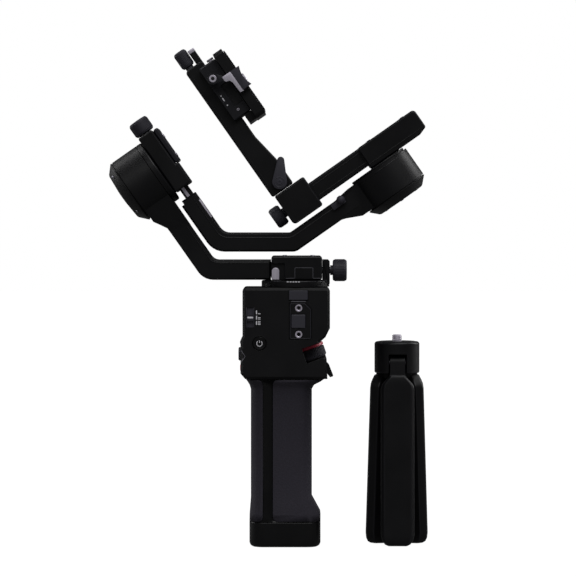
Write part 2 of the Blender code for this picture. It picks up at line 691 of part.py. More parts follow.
def height_on_leg(x, level):
    """The Z in the leaned frame at which a leg at this X meets a world level."""
    lean = math.radians(PARK_ANGLE)
    return (level - AXES_CROSS[2] - x * math.sin(lean)) / math.cos(lean)


def depth_on_leg(z, level):
    """The X in the leaned frame at which a leg at this Z meets a world level."""
    lean = math.radians(PARK_ANGLE)
    return (level - AXES_CROSS[2] - z * math.cos(lean)) / math.sin(lean)


def widened(bm, axis, near, far, factor):
    """Widen in Y, from no change at near to a factor at far along an axis."""
    for vert in bm.verts:
        share = min(1.0, max(0.0, (vert.co[axis] - near) / (far - near)))
        vert.co.y *= 1 + (factor - 1) * share
    return bm


def build_lower_arm(slide, leaned):
    half = ARM_WIDTH / 2
    start = PAN_HOLDER[0] - GAP
    leg = ROLL_FACE - 0.2 - ARM_THICKNESS / 2
    bend = height_on_leg(leg, ARM_LEVEL)
    path = [(start, ARM_LEVEL), park(leg, bend), park(leg, -16.0)]
    corners = arm_outline(path, ARM_THICKNESS, [(12.0, 6.0)])
    bm = rim_of(prism(rounded(corners, 5), (-half, half)), 1.2, 1, [-half, half])
    arm = piece("lower_arm", bm, slide, "arm_alloy")
    rail_end = PAN_HOLDER[1] - 3.2 - 0.4
    rail = (-RAIL_WIDTH / 2, RAIL_WIDTH / 2)
    tall = RAIL_HEIGHT / 2
    join(arm, box((start - 4, rail_end), rail, (ARM_LEVEL - tall, ARM_LEVEL + tall)), slide)
    cup_end = ROLL_FACE - ROLL_CUP_LENGTH
    cup = rod(ROTOR_RADIUS, (cup_end, ROLL_FACE), (0, 0), "X", 48)
    back = leg - ARM_THICKNESS / 2
    flare = [
        (ROLL_FACE - 0.1, -40.0), (back + 0.1, -40.0), (back - 0.1, -33.5), (back - 2.4, -29.4),
        (cup_end + 0.4, -25.0), (cup_end + 0.4, -15.0), (ROLL_FACE - 0.1, -15.0),
    ]  # fmt: skip
    join(arm, widened(prism(flare, (0.15 - half, half - 0.15)), 2, -36.0, -15.0, 1.55), leaned)
    join(arm, cup, leaned)
    cavity = rod(STATOR_RADIUS + 0.6, (cup_end + 2.2, ROLL_FACE + 5), (0, 0), "X", 40)
    cut(arm, cavity, leaned)
    stator_ring("roll_stator", leaned, (0, 0), "X", (cup_end + 2.6, ROLL_FACE - 0.6))
    rim = cup_end - GAP
    cap = [(0, rim), (ROTOR_RADIUS, rim), (ROTOR_RADIUS, rim - 1.0), (16.5, rim - 6.0)]
    cap += [(5.0, rim - ROLL_CAP_LENGTH), (0, rim - ROLL_CAP_LENGTH)]
    piece("roll_motor_cover", turned(cap, axis="X", segments=48), leaned, "shell_plastic")


# ---------------------------------------------------------------- roll axis and its arm


def build_roll(roll):
    face = ROLL_FACE + GAP
    back = face + ROTOR_THICKNESS - 0.3
    disc = [(0, face - 15.0), (SHAFT_RADIUS, face - 15.0), (SHAFT_RADIUS, face), (ROTOR_RADIUS, face)]
    disc += [(ROTOR_RADIUS, back - 0.5), (ROTOR_RADIUS - 0.5, back), (0, back)]
    piece("roll_rotor", turned(disc, axis="X", segments=48), roll, "arm_alloy")
    low, high = ROLL_HOLDER
    x = back + GAP
    step = ROLL_RAIL[1] + 1.9
    outline = rounded([
        (x, low, 1.0), (step + 1.8, low, 1.0), (step + 1.8, -2.4), (step, -2.4), (step, high, 1.2),
        (x, high, 1.2),
    ], 3)  # fmt: skip
    half = HOLDER_WIDTH / 2
    holder = piece("roll_arm_holder", rim_of(prism(outline, (-half, half)), 0.8, 1, [-half, half]),
                   roll, "arm_alloy")  # fmt: skip
    rail = RAIL_WIDTH / 2 + 2 * GAP
    end = high - 2.6
    space = (ROLL_RAIL[0] - GAP, ROLL_RAIL[1] + GAP)
    cut(holder, box(space, (-rail, rail), (low - 2, end)), roll)
    axis_x = ROLL_ARM_LEG + 1.65
    cut(holder, rod(KNOB_SHAFT + GAP, (end - 1, high + 2), (axis_x, 0), "Z", 20), roll)
    cover = box((step + GAP, step + GAP + 3.5), (1 - half, half - 1), (-2.1, high - 1.0))
    piece("roll_clamp_cover", chamfered(cover, 0.7), roll, "clamp_alloy")
    knob_start = high + 0.9
    clamp_knob("roll_knob", roll, "Z", (axis_x, 0), (knob_start, knob_start + 9.6), end - 1.2,
               (axis_x, 0, knob_start), 6.8)  # fmt: skip


def build_roll_arm(slide):
    half = ARM_WIDTH / 2
    left = height_on_leg(ROLL_ARM_LEG, ROLL_ARM_LEVEL)
    right = depth_on_leg(TILT_LEG, ROLL_ARM_LEVEL)
    path = [(ROLL_ARM_LEG, ROLL_ARM_TOP), (ROLL_ARM_LEG, left), (right, TILT_LEG), (-13.0, TILT_LEG)]
    corners = arm_outline(path, ROLL_ARM_THICKNESS, [(14.0, 8.0), (7.0, 3.0)])
    bm = rim_of(prism(rounded(corners, 5), (-half, half)), 1.2, 1, [-half, half])
    arm = piece("roll_arm", bm, slide, "arm_alloy")
    rail = (-RAIL_WIDTH / 2, RAIL_WIDTH / 2)
    join(arm, box(ROLL_RAIL, rail, (ROLL_ARM_TOP - 4, ROLL_RAIL_TOP)), slide)
    rotor_back = ROLL_FACE + ROTOR_THICKNESS + GAP
    notch = (-ROTOR_RADIUS - ROLL_ARM_STROKE - GAP, ROLL_ARM_TOP + 2)
    cut(arm, box((rotor_back - 8, rotor_back), (-half - 1, half + 1), notch), slide)
    cup_end = TILT_FACE - TILT_CUP_LENGTH
    edge = -TILT_CUP_RADIUS
    upper = TILT_LEG + ROLL_ARM_THICKNESS / 2
    lower = TILT_LEG - ROLL_ARM_THICKNESS / 2
    flare = [
        (edge - 18.0, lower + 0.1), (edge - 15.2, lower - 0.8), (edge - 5.0, cup_end + 0.2),
        (-10.0, cup_end + 0.2), (-10.0, TILT_FACE - 0.1), (edge - 3.0, TILT_FACE - 0.1),
        (edge - 15.0, upper - 0.1), (edge - 18.0, upper - 0.1),
    ]  # fmt: skip
    join(arm, prism(flare, (0.15 - half, half - 0.15)), slide)
    fairing = box((edge - 4.5, -9.0), (0.3 - half, half - 0.3), (cup_end + 0.4, TILT_FACE - 0.3))
    join(arm, widened(fairing, 0, edge - 4.5, -9.0, 1.5), slide)
    join(arm, rod(TILT_CUP_RADIUS, (cup_end, TILT_FACE), (0, 0), "Z", 48), slide)
    cavity = rod(STATOR_RADIUS + 0.6, (cup_end + 2.2, TILT_FACE + 5), (0, 0), "Z", 40)
    cut(arm, cavity, slide)
    stator_ring("tilt_stator", slide, (0, 0), "Z", (cup_end + 2.6, TILT_FACE - 0.6))
    rim = cup_end - GAP
    cap = [(0, rim - TILT_CAP_LENGTH), (TILT_CUP_RADIUS - 5.3, rim - TILT_CAP_LENGTH)]
    cap += [(TILT_CUP_RADIUS, rim - 0.7), (TILT_CUP_RADIUS, rim), (0, rim)]
    piece("tilt_motor_cover", turned(cap, segments=48), slide, "shell_plastic")
    tilt_lock(slide, half, upper)


def tilt_lock(slide, half, upper):
    """The ball-ended slider that locks the tilt axis, on the -Y side of the arm."""
    x = -TILT_CUP_RADIUS - 10.9
    plate = box((x - 7.6, x + 2.2), (-half - 1.9, -half - GAP), (upper - 4.6, upper - 0.6))
    lock = piece("tilt_lock_knob", chamfered(plate, 0.4), slide, "silver_steel",
                 (x, -half - GAP, upper - 2.6))  # fmt: skip
    ball = [(0, -2.8)] + [(2.8 * math.cos(a), 2.8 * math.sin(a)) for a in
                          [math.radians(t) for t in range(-67, 68, 27)]] + [(0, 2.8)]  # fmt: skip
    join(lock, turned(ball, (x, -half - 3.4, upper - 1.4), "Z", 18), slide)


# ---------------------------------------------------------------- tilt axis, camera bar and platform


def build_tilt(tilt):
    face = TILT_FACE + GAP
    top = face + TILT_PLATE
    disc = [(0, face - 15.0), (SHAFT_RADIUS, face - 15.0), (SHAFT_RADIUS, face)]
    disc += [(TILT_CUP_RADIUS - 1.5, face), (TILT_CUP_RADIUS - 1.5, top), (0, top)]
    piece("tilt_rotor", turned(disc, segments=48), tilt, "arm_alloy")
    x0, x1, z0, z1 = BLOCK
    outline = rounded([
        (x0, z0, 1.2), (x1 - 6.0, z0, 1.2), (x1, z0 + 2.1, 1.5), (x1, z1, 2.5), (x0, z1, 1.5),
    ], 4)  # fmt: skip
    bm = rim_of(prism(outline, (-12.0, 12.0)), 0.8, 1, [-12.0, 12.0])
    arm = piece("vertical_arm", bm, tilt, "arm_alloy")
    end, low, high = SWING_BAR
    half = SWING_BAR_WIDTH / 2
    bar = rim_of(box((end, x0 + 6), (-half, half), (low, high)), 0.8, 1, [-half, half])
    join(arm, bar, tilt)


def build_bracket(slide):
    x0, x1, z0, z1 = BRACKET
    half = BRACKET_WIDTH / 2
    outline = rounded([(x0, z0, 2.5), (x1, z0, 1.5), (x1, z1, 1.5), (x0, z1, 1.2)], 4)
    bm = rim_of(prism(outline, (-half, half)), 0.8, 1, [-half, half])
    bracket = piece("bracket", bm, slide, "arm_alloy")
    end, low, high = SWING_BAR
    wide = SWING_BAR_WIDTH / 2 + GAP
    space = (low - GAP, high + GAP)
    cut(bracket, box((BRACKET_TUNNEL_END, x1 + 2), (-wide, wide), space), slide)
    knob_z = (low + high) / 2
    hole = KNOB_SHAFT + GAP
    cut(bracket, rod(hole, (x0 - 2, BRACKET_TUNNEL_END + 1), (0, knob_z), "X", 20), slide)
    knob_start = x0 - 1.3
    clamp_knob("bracket_knob", slide, "X", (0, knob_z), (knob_start, knob_start - 7.8),
               BRACKET_TUNNEL_END - 0.3, (knob_start, 0, knob_z), 7.0)  # fmt: skip
    build_camera_bar(slide, z1 + GAP)
    build_bar_lever(slide)


def build_camera_bar(slide, bottom):
    half = CAMERA_BAR_WIDTH / 2
    outline = rounded([
        (CAMERA_BAR_BACK, bottom, 1.5), (CAMERA_BAR_FOOT, bottom, 1.2),
        (CAMERA_BAR_FOOT, bottom + 19.0, 4.0), (CAMERA_BAR_FRONT, -18.0, 4.0),
        (CAMERA_BAR_FRONT, CAMERA_BAR_TOP, 1.2), (CAMERA_BAR_BACK, CAMERA_BAR_TOP, 2.5),
    ], 4)  # fmt: skip
    bm = rim_of(prism(outline, (-half, half)), 0.8, 1, [-half, half])
    bar = piece("camera_bar", bm, slide, "arm_alloy")
    floor = CAMERA_BAR_FRONT - GROOVE_DEPTH
    low = PLATFORM[0] - 28.0
    cut(bar, box((floor, -40), (-4.3, 4.3), (low, CAMERA_BAR_TOP + 3)), slide)
    knob_x = (CAMERA_BAR_BACK + floor) / 2 - 0.2
    cut(bar, rod(2.1, (CAMERA_BAR_TOP - 6, CAMERA_BAR_TOP + 2), (knob_x, 0), "Z", 16), slide)
    start = CAMERA_BAR_TOP + 2.0
    clamp_knob("platform_knob", slide, "Z", (knob_x, 0), (start, start + 11.7),
               CAMERA_BAR_TOP - 4.5, (knob_x, 0, start), 4.5, 1.8)  # fmt: skip


def build_bar_lever(slide):
    """The release lever at the foot of the camera bar."""
    x, z = BAR_LEVER
    near = -CAMERA_BAR_WIDTH / 2 - GAP
    tip = (x + 8.6, z + 11.0)
    lean = math.degrees(math.atan2(tip[1] - z, tip[0] - x))
    outline = arc((x, z), 4.8, lean + 75, lean + 285, 14) + arc(tip, 2.3, lean - 80, lean + 80, 6)
    lever = rim_of(prism(outline, (near - 3.0, near)), 0.5, 1, [near - 3.0])
    piece("bar_lock_lever", lever, slide, "knob_plastic", (x, near, z))


def build_platform(slide):
    floor = CAMERA_BAR_FRONT + GAP
    inner = CAMERA_BAR_WIDTH / 2 + 0.4
    outer = inner + PLATFORM_SKIRT
    foot = floor - SKIRT_DROP
    outline = [
        (PLATFORM_FACE, -outer), (PLATFORM_FACE, outer), (foot, outer), (foot, inner),
        (floor, inner), (floor, -inner), (foot, -inner), (foot, -outer),
    ]  # fmt: skip
    bm = rim_of(prism(outline, PLATFORM, "XY"), 0.8, 2, PLATFORM)
    clamp = piece("platform_clamp", bm, slide, "clamp_alloy")
    x, z = LEVER_PIN
    join(clamp, rod(LEVER_PIN_RADIUS, (-outer - 8.4, 0.8 - outer), (x, z), "Y", 20, 0.3), slide)
    x0, x1, z0, z1 = CLAMP_RECESS
    cut(clamp, box((x0, x1), (-outer - 1, 1.2 - outer), (z0, z1)), slide)
    top = PLATFORM[1]
    cut(clamp, box((-51.3, -48.0), (-3.3, 3.3), (top - 3.6, top + 2)), slide)
    catch = box((-51.0, -48.3), (-3.0, 3.0), (top - 2.2, top + 1.6))
    piece("safety_catch", chamfered(catch, 0.3), slide, "silver_steel", (-49.6, 0, top))
    rail = box((CAMERA_BAR_FRONT - GROOVE_DEPTH + GAP, CAMERA_BAR_FRONT), (-4.0, 4.0),
               (PLATFORM[0] - 6.0, PLATFORM[1] + 14.3))  # fmt: skip
    piece("platform_rail", chamfered(rail, 0.5), slide, "silver_steel")
    build_plate_lever(slide, outer)


def build_plate_lever(slide, outer):
    """The thumb lever that clamps the quick-release plate, turning on a pin along Y."""
    x, z = LEVER_PIN
    low, high = PLATE_RIGHT - 4.4, PLATE_RIGHT - 0.6
    hub = arc((x, z), LEVER_HUB, 60, 265, 12)
    back, front, foot, head = THUMB
    under, over = LEVER_ARM
    dish = (front - 1.0, (foot + head) / 2)
    thumb = [
        (x + 5.0, under), (back, under), (back, foot), (front, foot + 0.4), (dish[0], dish[1] - 3.4),
        dish, (dish[0] + 0.2, dish[1] + 3.6), (front, head), (back + 1.6, over),
    ]  # fmt: skip
    lever = piece("plate_lever", prism(hub + thumb, (low, high)), slide, "knob_plastic", (x, low, z))
    join(lever, rod(LEVER_HUB - 0.1, (high - 1.0, -outer - 0.4), (x, z), "Y", 24), slide)
    cut(lever, rod(LEVER_PIN_RADIUS + GAP, (low - 2, -outer + 2), (x, z), "Y", 24), slide)


def build_plate(slide):
    """The quick-release plate that carries the camera, with its pad and camera screw."""
    under = PLATFORM_FACE + GAP
    over = under + PLATE_THICKNESS
    y = (PLATE_RIGHT, PLATE_RIGHT + PLATE_LENGTH)
    outline = rounded(rectangle(y, PLATE, 3.0), 4)
    plate = piece("quick_release_plate", prism(outline, (under, over), "YZ"), slide, "clamp_alloy")
    lip = box((under - 5.4, under + 2), (y[0] + 4, y[1] - 4), (PLATE[0] + 0.4, PLATFORM[0] - GAP))
    join(plate, lip, slide)
    z, across = SCREW_AT
    head = 6.0
    cut(plate, rod(SCREW_RADIUS + GAP, (under - 2, over + 2), (across, z), "X", 20), slide)
    cut(plate, rod(head + GAP, (under - 2, under + 2.6), (across, z), "X", 28), slide)
    tip = over + PAD_THICKNESS + GAP + 1.8
    screw = [(0, under + 0.2), (head, under + 0.2), (head, under + 2.2), (SCREW_RADIUS, under + 2.2)]
    screw += [(SCREW_RADIUS, tip - 0.5), (SCREW_RADIUS - 0.5, tip), (0, tip)]
    piece("camera_screw", turned(screw, (0, across, z), "X", 24), slide, "silver_steel",
          (under, across, z))  # fmt: skip
    face = over + GAP
    outline = rounded(rectangle((y[0] + 2, y[1] - 2), (PLATE[0] + 2, PLATE[1] - 2), 2.0), 3)
    pad = piece("plate_pad", prism(outline, (face, face + PAD_THICKNESS), "YZ"), slide, "grip_rubber")
    cut(pad, rod(SCREW_RADIUS + 1.0, (face - 2, face + 3), (across, z), "X", 20), slide)


# ---------------------------------------------------------------- mini tripod


def build_tripod(tripod):
    low, high = TRIPOD_HEAD
    profile = [(0, low), (TRIPOD_RADIUS - 0.6, low), (TRIPOD_RADIUS, low + 0.6)]
    profile += [(TRIPOD_RADIUS, high - 1.0), (TRIPOD_RADIUS - 1.0, high), (0, high)]
    head = piece("tripod_head", turned(profile, segments=48), tripod, "arm_alloy")
    cut(head, rod(SCREW_RADIUS + GAP, (high - 6.0, high + 2)), tripod)
    screw = rod(SCREW_RADIUS, (high - 5.6, high + 4.5), bevel=0.5)
    piece("tripod_screw", screw, tripod, "silver_steel")
    names = ("tripod_leg_front", "tripod_leg_right", "tripod_leg_left")
    for i, name in enumerate(names):
        side = frame(f"{name}_side", turn=120.0 * i, parent=tripod)
        half = LEG_NECK / 2 + LEG_NECK_CLEARANCE
        space = box((-half, half), (-30, -2.9), (low - 5, LEG_PIVOT[1] + 5.3))
        cut(head, space, side)
        hinge = frame(f"{name}_hinge", (0, -LEG_PIVOT[0], LEG_PIVOT[1]), parent=side)
        hinge.rotation_euler = (math.radians(-LEG_SPLAY), 0, 0)
        leg = piece(name, leg_wedge(), hinge, "arm_alloy")
        join(leg, leg_neck(), hinge)


def leg_wedge():
    """One third of the folded column, in the frame of its hinge: -Y is outwards."""
    reach = LEG_PIVOT[0]
    top = LEG_SHOULDER - LEG_PIVOT[1]
    bottom = -LEG_PIVOT[1] + 0.45
    wide = LEG_WIDTH / 2
    rim = TRIPOD_RADIUS
    plan = [
        (-1.2, 1.5), (1.2, 1.5), (wide, 7.2), (wide, rim - 2.1), (wide - 2.1, rim),
        (2.1 - wide, rim), (-wide, rim - 2.1), (-wide, 7.2),
    ]  # fmt: skip
    levels = (
        (bottom, 0.56, 0.78), (bottom + 1.0, 0.76, 0.9), (bottom + 3.4, 0.92, 0.98), (bottom + 7.0, 1.0, 1.0),
        (top - 8.6, 1.0, 1.0), (top - 5.6, 0.92, 1.0), (top - 3.0, 0.72, 0.99), (top - 1.2, 0.55, 0.96),
        (top, 0.5, 0.9),
    )  # fmt: skip
    middle = 8.2
    return loft([
        (z, [(x * across, reach - (middle + (y - middle) * deep)) for x, y in plan])
        for z, across, deep in levels
    ])  # fmt: skip


def leg_neck():
    """The tongue that turns in the tripod head's slot."""
    radius = 4.5
    half = LEG_NECK / 2
    outline = arc((0, 0), radius, 0, 180, 8) + [(-radius, LEG_SHOULDER - LEG_PIVOT[1] - 2.0)]
    outline.append((radius, LEG_SHOULDER - LEG_PIVOT[1] - 2.0))
    return prism(outline, (-half, half), "YZ")


# ---------------------------------------------------------------- assembly


def build():
    clear_scene()
    handle = frame("handle", (HANDLE_X, 0, 0))
    dial_frame = frame("dial_axis", (DIAL_CENTRE[0], 0, DIAL_CENTRE[1]), DIAL_TILT, handle)
    build_grip(handle)
    build_base(handle)
    build_head(handle, dial_frame)
    build_controls(handle, dial_frame)
    pan = frame("pan_axis")
    build_pan(pan)
    pan_slide = frame("pan_arm_slide", parent=pan)
    roll = frame("roll_axis", AXES_CROSS, PARK_ANGLE, pan_slide)
    build_lower_arm(pan_slide, roll)
    build_roll(roll)
    roll_slide = frame("roll_arm_slide", parent=roll)
    build_roll_arm(roll_slide)
    tilt = frame("tilt_axis", parent=roll_slide)
    build_tilt(tilt)
    bracket_slide = frame("bracket_slide", parent=tilt)
    build_bracket(bracket_slide)
    platform_slide = frame("platform_slide", parent=bracket_slide)
    build_platform(platform_slide)
    plate_slide = frame("plate_slide", parent=platform_slide)
    build_plate(plate_slide)
    build_tripod(frame("tripod", (TRIPOD_X, 0, 0)))


build()
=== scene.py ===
"""Looks of a three-axis gimbal stabilizer with its mini tripod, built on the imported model.

Shapes are drawn in millimetres in the frame of their sub-assembly and placed in metres. The head and
grip use a frame behind the pan axis, and the roll and tilt pieces use a frame leaned by 35 degrees whose
X is the roll axis and whose Z is the tilt axis.
"""

import logging
import math
from dataclasses import dataclass, replace
from enum import Enum

import bmesh
import bpy
from mathutils import Matrix, Vector


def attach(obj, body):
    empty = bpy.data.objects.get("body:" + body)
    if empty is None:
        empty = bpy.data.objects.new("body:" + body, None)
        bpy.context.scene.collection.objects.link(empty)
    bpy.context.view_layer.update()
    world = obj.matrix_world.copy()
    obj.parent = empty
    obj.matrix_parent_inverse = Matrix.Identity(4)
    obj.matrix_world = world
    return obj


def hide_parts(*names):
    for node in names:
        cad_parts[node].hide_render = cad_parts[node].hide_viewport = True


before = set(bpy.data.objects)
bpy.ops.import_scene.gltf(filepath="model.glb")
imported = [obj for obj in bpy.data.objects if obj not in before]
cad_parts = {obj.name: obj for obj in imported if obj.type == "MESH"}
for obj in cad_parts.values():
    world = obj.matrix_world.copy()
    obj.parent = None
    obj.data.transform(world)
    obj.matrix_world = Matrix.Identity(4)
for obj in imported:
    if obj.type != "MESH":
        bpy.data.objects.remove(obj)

LOG = logging.getLogger("gimbal")
MM = 0.001
LEAN = math.radians(35.0)  # how far the roll and tilt axes are parked from level
AXES_CROSS = (8.3, 0.0, 310.5)  # where the roll and tilt axes meet
HANDLE_X = -6.8  # middle of the grip's base, behind the pan axis
SMOOTH_ANGLE = math.radians(34.0)
WELD = 2e-6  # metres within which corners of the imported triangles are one
FLAT_ANGLE = math.radians(0.7)
FOLDED = 1.01  # growth of the surface past which a round has folded over
QUARTER_INCH_PITCH = 1.27  # millimetres
SPECKLE = {"From Min": 0.25, "From Max": 0.75, "To Min": 0.86, "To Max": 1.1}  # relief height to brightness
HANDLED = (0.3, 0.7)  # the part of the slow noise that spans a finish's roughness
BUMP_STRENGTH = 0.7
COAT_ROUGHNESS = 0.08

WORLD = Matrix.Identity(4)
HANDLE = Matrix.Translation((HANDLE_X * MM, 0, 0))
LEANED = Matrix.Translation(Vector(AXES_CROSS) * MM) @ Matrix.Rotation(-LEAN, 4, "Y")


# ---------------------------------------------------------------- finishes


class Pattern(Enum):
    """The fine relief that a surface was made with."""

    GRAIN = "spark-eroded or bead-blasted"
    PEBBLE = "moulded pebble grain"
    BRUSHED = "brushed along its length"


def linear(colour: str) -> tuple[float, float, float, float]:
    """Turn an sRGB hex colour into linear light.

    Args:
        colour: six hex digits.

    Returns:
        Red, green, blue and alpha.
    """
    values = [int(colour[i : i + 2], 16) / 255 for i in (0, 2, 4)]
    flat = [v / 12.92 if v <= 0.04045 else ((v + 0.055) / 1.055) ** 2.4 for v in values]
    return (*flat, 1.0)


def add(tree: bpy.types.NodeTree, kind: str, settings: dict | None = None,
        sockets: dict | None = None) -> bpy.types.Node:
    """Add a node, set its properties, and set or link its inputs.

    Args:
        tree: the node tree.
        kind: the node's type.
        settings: properties by name.
        sockets: values, or output sockets to link, by input name or number.

    Returns:
        The node.
    """
    made = tree.nodes.new(kind)
    for key, value in (settings or {}).items():
        setattr(made, key, value)
    for key, value in (sockets or {}).items():
        if isinstance(value, bpy.types.NodeSocket):
            tree.links.new(value, made.inputs[key])
        else:
            made.inputs[key].default_value = value
    return made


def emptied(owner: bpy.types.ID) -> bpy.types.NodeTree:
    """The cleared node tree of a new material or world."""
    owner.use_nodes = True
    owner.node_tree.nodes.clear()
    return owner.node_tree


def linked(thing: bpy.types.Object) -> bpy.types.Object:
    """Put a thing into the scene and give it back."""
    bpy.context.scene.collection.objects.link(thing)
    return thing


def shift(x: float, y: float, z: float) -> Matrix:
    """A move given in millimetres."""
    return Matrix.Translation(Vector((x, y, z)) * MM)


@dataclass(frozen=True)
class Finish:
    """One material. Lengths are in millimetres.

    The colour drifts towards the tone over some centimetres, as handled surfaces do, and the grain is the
    pitch of the relief.
    """

    name: str
    slot: str
    colour: str
    tone: str
    roughness: tuple[float, float]
    grain: float
    relief: float
    pattern: Pattern = Pattern.GRAIN
    metallic: float = 0.0
    ior: float = 1.5
    coat: float = 0.0
    drift: float = 22.0

    def worn_and_highlit(self, colour: str, roughness: tuple[float, float]) -> "Finish":
        """The same material on its rounded edges: lighter where hands and tables have polished it, and lighter
        still as a painted highlight for edges that catch the light.
        """
        return replace(self, name=f"{self.name}, worn edge with painted highlight", colour=colour, tone=self.tone,
                       roughness=roughness, relief=self.relief * 0.3)

    def height(self, tree: bpy.types.NodeTree, where: bpy.types.NodeSocket) -> bpy.types.NodeSocket:
        """The relief's height from 0 to 1, as an output socket."""
        scale = 1.0 / (self.grain * MM)
        if self.pattern is Pattern.PEBBLE:
            cells = add(tree, "ShaderNodeTexVoronoi", {"feature": "SMOOTH_F1"},
                        {"Vector": where, "Scale": scale, "Smoothness": 0.35})
            return cells.outputs["Distance"]
        if self.pattern is Pattern.BRUSHED:
            turned_in = add(tree, "ShaderNodeMapping", None,
                            {"Vector": where, "Rotation": (0.0, LEAN, 0.0),
                             "Scale": (1.0, 1.0, 0.03)})
            where = turned_in.outputs["Vector"]
        return add(tree, "ShaderNodeTexNoise", None,
                   {"Vector": where, "Scale": scale, "Detail": 3.0, "Roughness": 0.6}).outputs["Fac"]

    def material(self) -> bpy.types.Material:
        """Build the material once and give it back after that."""
        found = bpy.data.materials.get(self.name)
        if found:
            return found
        made = bpy.data.materials.new(self.name)
        made.diffuse_color = linear(self.colour)
        tree = emptied(made)
        where = add(tree, "ShaderNodeTexCoord").outputs["Object"]
        handled = add(tree, "ShaderNodeTexNoise", None,
                      {"Vector": where, "Scale": 1.0 / (self.drift * MM), "Detail": 4.0})
        fine = self.height(tree, where)
        mixed = add(tree, "ShaderNodeMix", {"data_type": "RGBA"},
                    {"Factor": handled.outputs["Fac"], "A": linear(self.colour), "B": linear(self.tone)})
        speck = add(tree, "ShaderNodeMapRange", None,
                    {"Value": fine, **SPECKLE})
        shaded = add(tree, "ShaderNodeVectorMath", {"operation": "SCALE"},
                     {0: mixed.outputs["Result"], "Scale": speck.outputs["Result"]})
        dull = add(tree, "ShaderNodeMapRange", None,
                   {"Value": handled.outputs["Fac"], "From Min": HANDLED[0], "From Max": HANDLED[1],
                    "To Min": self.roughness[0], "To Max": self.roughness[1]})
        bump = add(tree, "ShaderNodeBump", None,
                   {"Height": fine, "Strength": BUMP_STRENGTH, "Distance": self.relief * MM})
        shader = add(tree, "ShaderNodeBsdfPrincipled", None, {
            "Base Color": shaded.outputs["Vector"], "Roughness": dull.outputs["Result"],
            "Normal": bump.outputs["Normal"], "Metallic": self.metallic, "IOR": self.ior,
            "Coat Weight": self.coat, "Coat Roughness": COAT_ROUGHNESS,
        })
        add(tree, "ShaderNodeOutputMaterial", None, {"Surface": shader.outputs["BSDF"]})
        return made


# Glass-filled nylon from a spark-eroded mould: a deep satin black with a grain felt more than seen.
SHELL = Finish("glass-filled nylon, spark-eroded", "shell_plastic", "08080a", "0e0e11", (0.46, 0.58), 0.42, 0.006,
               ior=1.34)
# Polished ABS: near-mirror black that picks up soft streaks of light.
GLOSS = Finish("ABS, polished black", "gloss_plastic", "050506", "09090b", (0.3, 0.42), 1.4, 0.004,
               ior=1.36, coat=0.08)
# Thermoplastic rubber with a pebble grain: violet-grey and dull, with no hard highlight.
RUBBER = Finish("thermoplastic rubber, pebbled", "grip_rubber", "26232d", "2c2934", (0.78, 0.9), 0.95, 0.11,
                Pattern.PEBBLE)
# Silicone rubber for seals and feet: flat black. It also makes dark pieces that paint shade into a gap, a hollow
# and a recess.
SEAL_AND_SHADE = Finish("silicone rubber, moulded, and painted shade", "port_rubber", "101013", "17171b", (0.7, 0.85), 0.6, 0.03)
# Machined aluminium, bead-blasted and anodised black: a dense, slightly metallic black.
ANODISED = Finish("aluminium, blasted and anodised black", "arm_alloy", "08080a", "0d0d10", (0.42, 0.54), 0.34,
                  0.005, ior=1.34)
# Nylon knobs with a coarse spark texture: dark violet-grey.
KNOB = Finish("nylon, coarse spark texture", "knob_plastic", "2b2a33", "34333d", (0.58, 0.7), 0.5, 0.016)
# Die-cast aluminium under powder coat: a dark grey with an orange-peel surface.
CAST = Finish("die-cast aluminium, powder-coated", "clamp_alloy", "131318", "1a1a21", (0.45, 0.6), 0.75, 0.045,
              ior=1.4)
# Stainless steel, brushed along the arms: bright with faint streaks.
STEEL = Finish("stainless steel, brushed", "silver_steel", "cfc9d8", "dfdae6", (0.3, 0.42), 0.5, 0.006,
               Pattern.BRUSHED, metallic=0.45)
# Turned and zinc-plated steel screws.
ZINC = Finish("screw steel, zinc-plated", "bare_metal", "8c8a94", "a3a1ab", (0.28, 0.4), 0.8, 0.01, metallic=1.0)
# Dyed acrylic ring: clear crimson with a wet look.
CRIMSON = Finish("acrylic, dyed crimson", "crimson_plastic", "c21f40", "d42c4e", (0.42, 0.5), 1.6, 0.004,
                 coat=0.1)
# Cover glass over a dark display.
GLASS = Finish("aluminosilicate glass, black-backed", "screen_glass", "040506", "07080a", (0.05, 0.09), 3.0, 0.001,
               ior=1.52, coat=0.6)
# Heat-shrunk PVC sleeve of a cell.
SLEEVE = Finish("PVC, heat-shrunk blue", "cell_wrap", "2c4a74", "35578a", (0.3, 0.42), 2.0, 0.02)
# Glass-epoxy board under solder mask.
BOARD = Finish("glass epoxy, green solder mask", "circuit_board", "0f3520", "164428", (0.4, 0.55), 0.6, 0.01)
# Enamelled copper wire wound in grooves.
COPPER = Finish("enamelled copper wire, wound", "motor_winding", "8a5630", "9c6438", (0.3, 0.42), 0.5, 0.06,
                Pattern.BRUSHED, metallic=0.9)
# Free-cutting brass, turned.
BRASS = Finish("brass, turned", "brass_insert", "a98745", "bb9852", (0.28, 0.4), 0.7, 0.01, metallic=1.0)
# Two-part ink pressed on with a pad: flat off-white.
INK = Finish("pad-print ink, white", "silver_steel", "dedde4", "ecebf0", (0.6, 0.7), 0.8, 0.004)
# Grey ink for quiet printed marks, and grey lines that paint a highlight along seams and edges.
GREY_INK_AND_HIGHLIGHT = Finish("pad-print ink and painted highlight, grey", "bare_metal", "5c5b63", "6a6971", (0.6, 0.7), 0.8, 0.004)

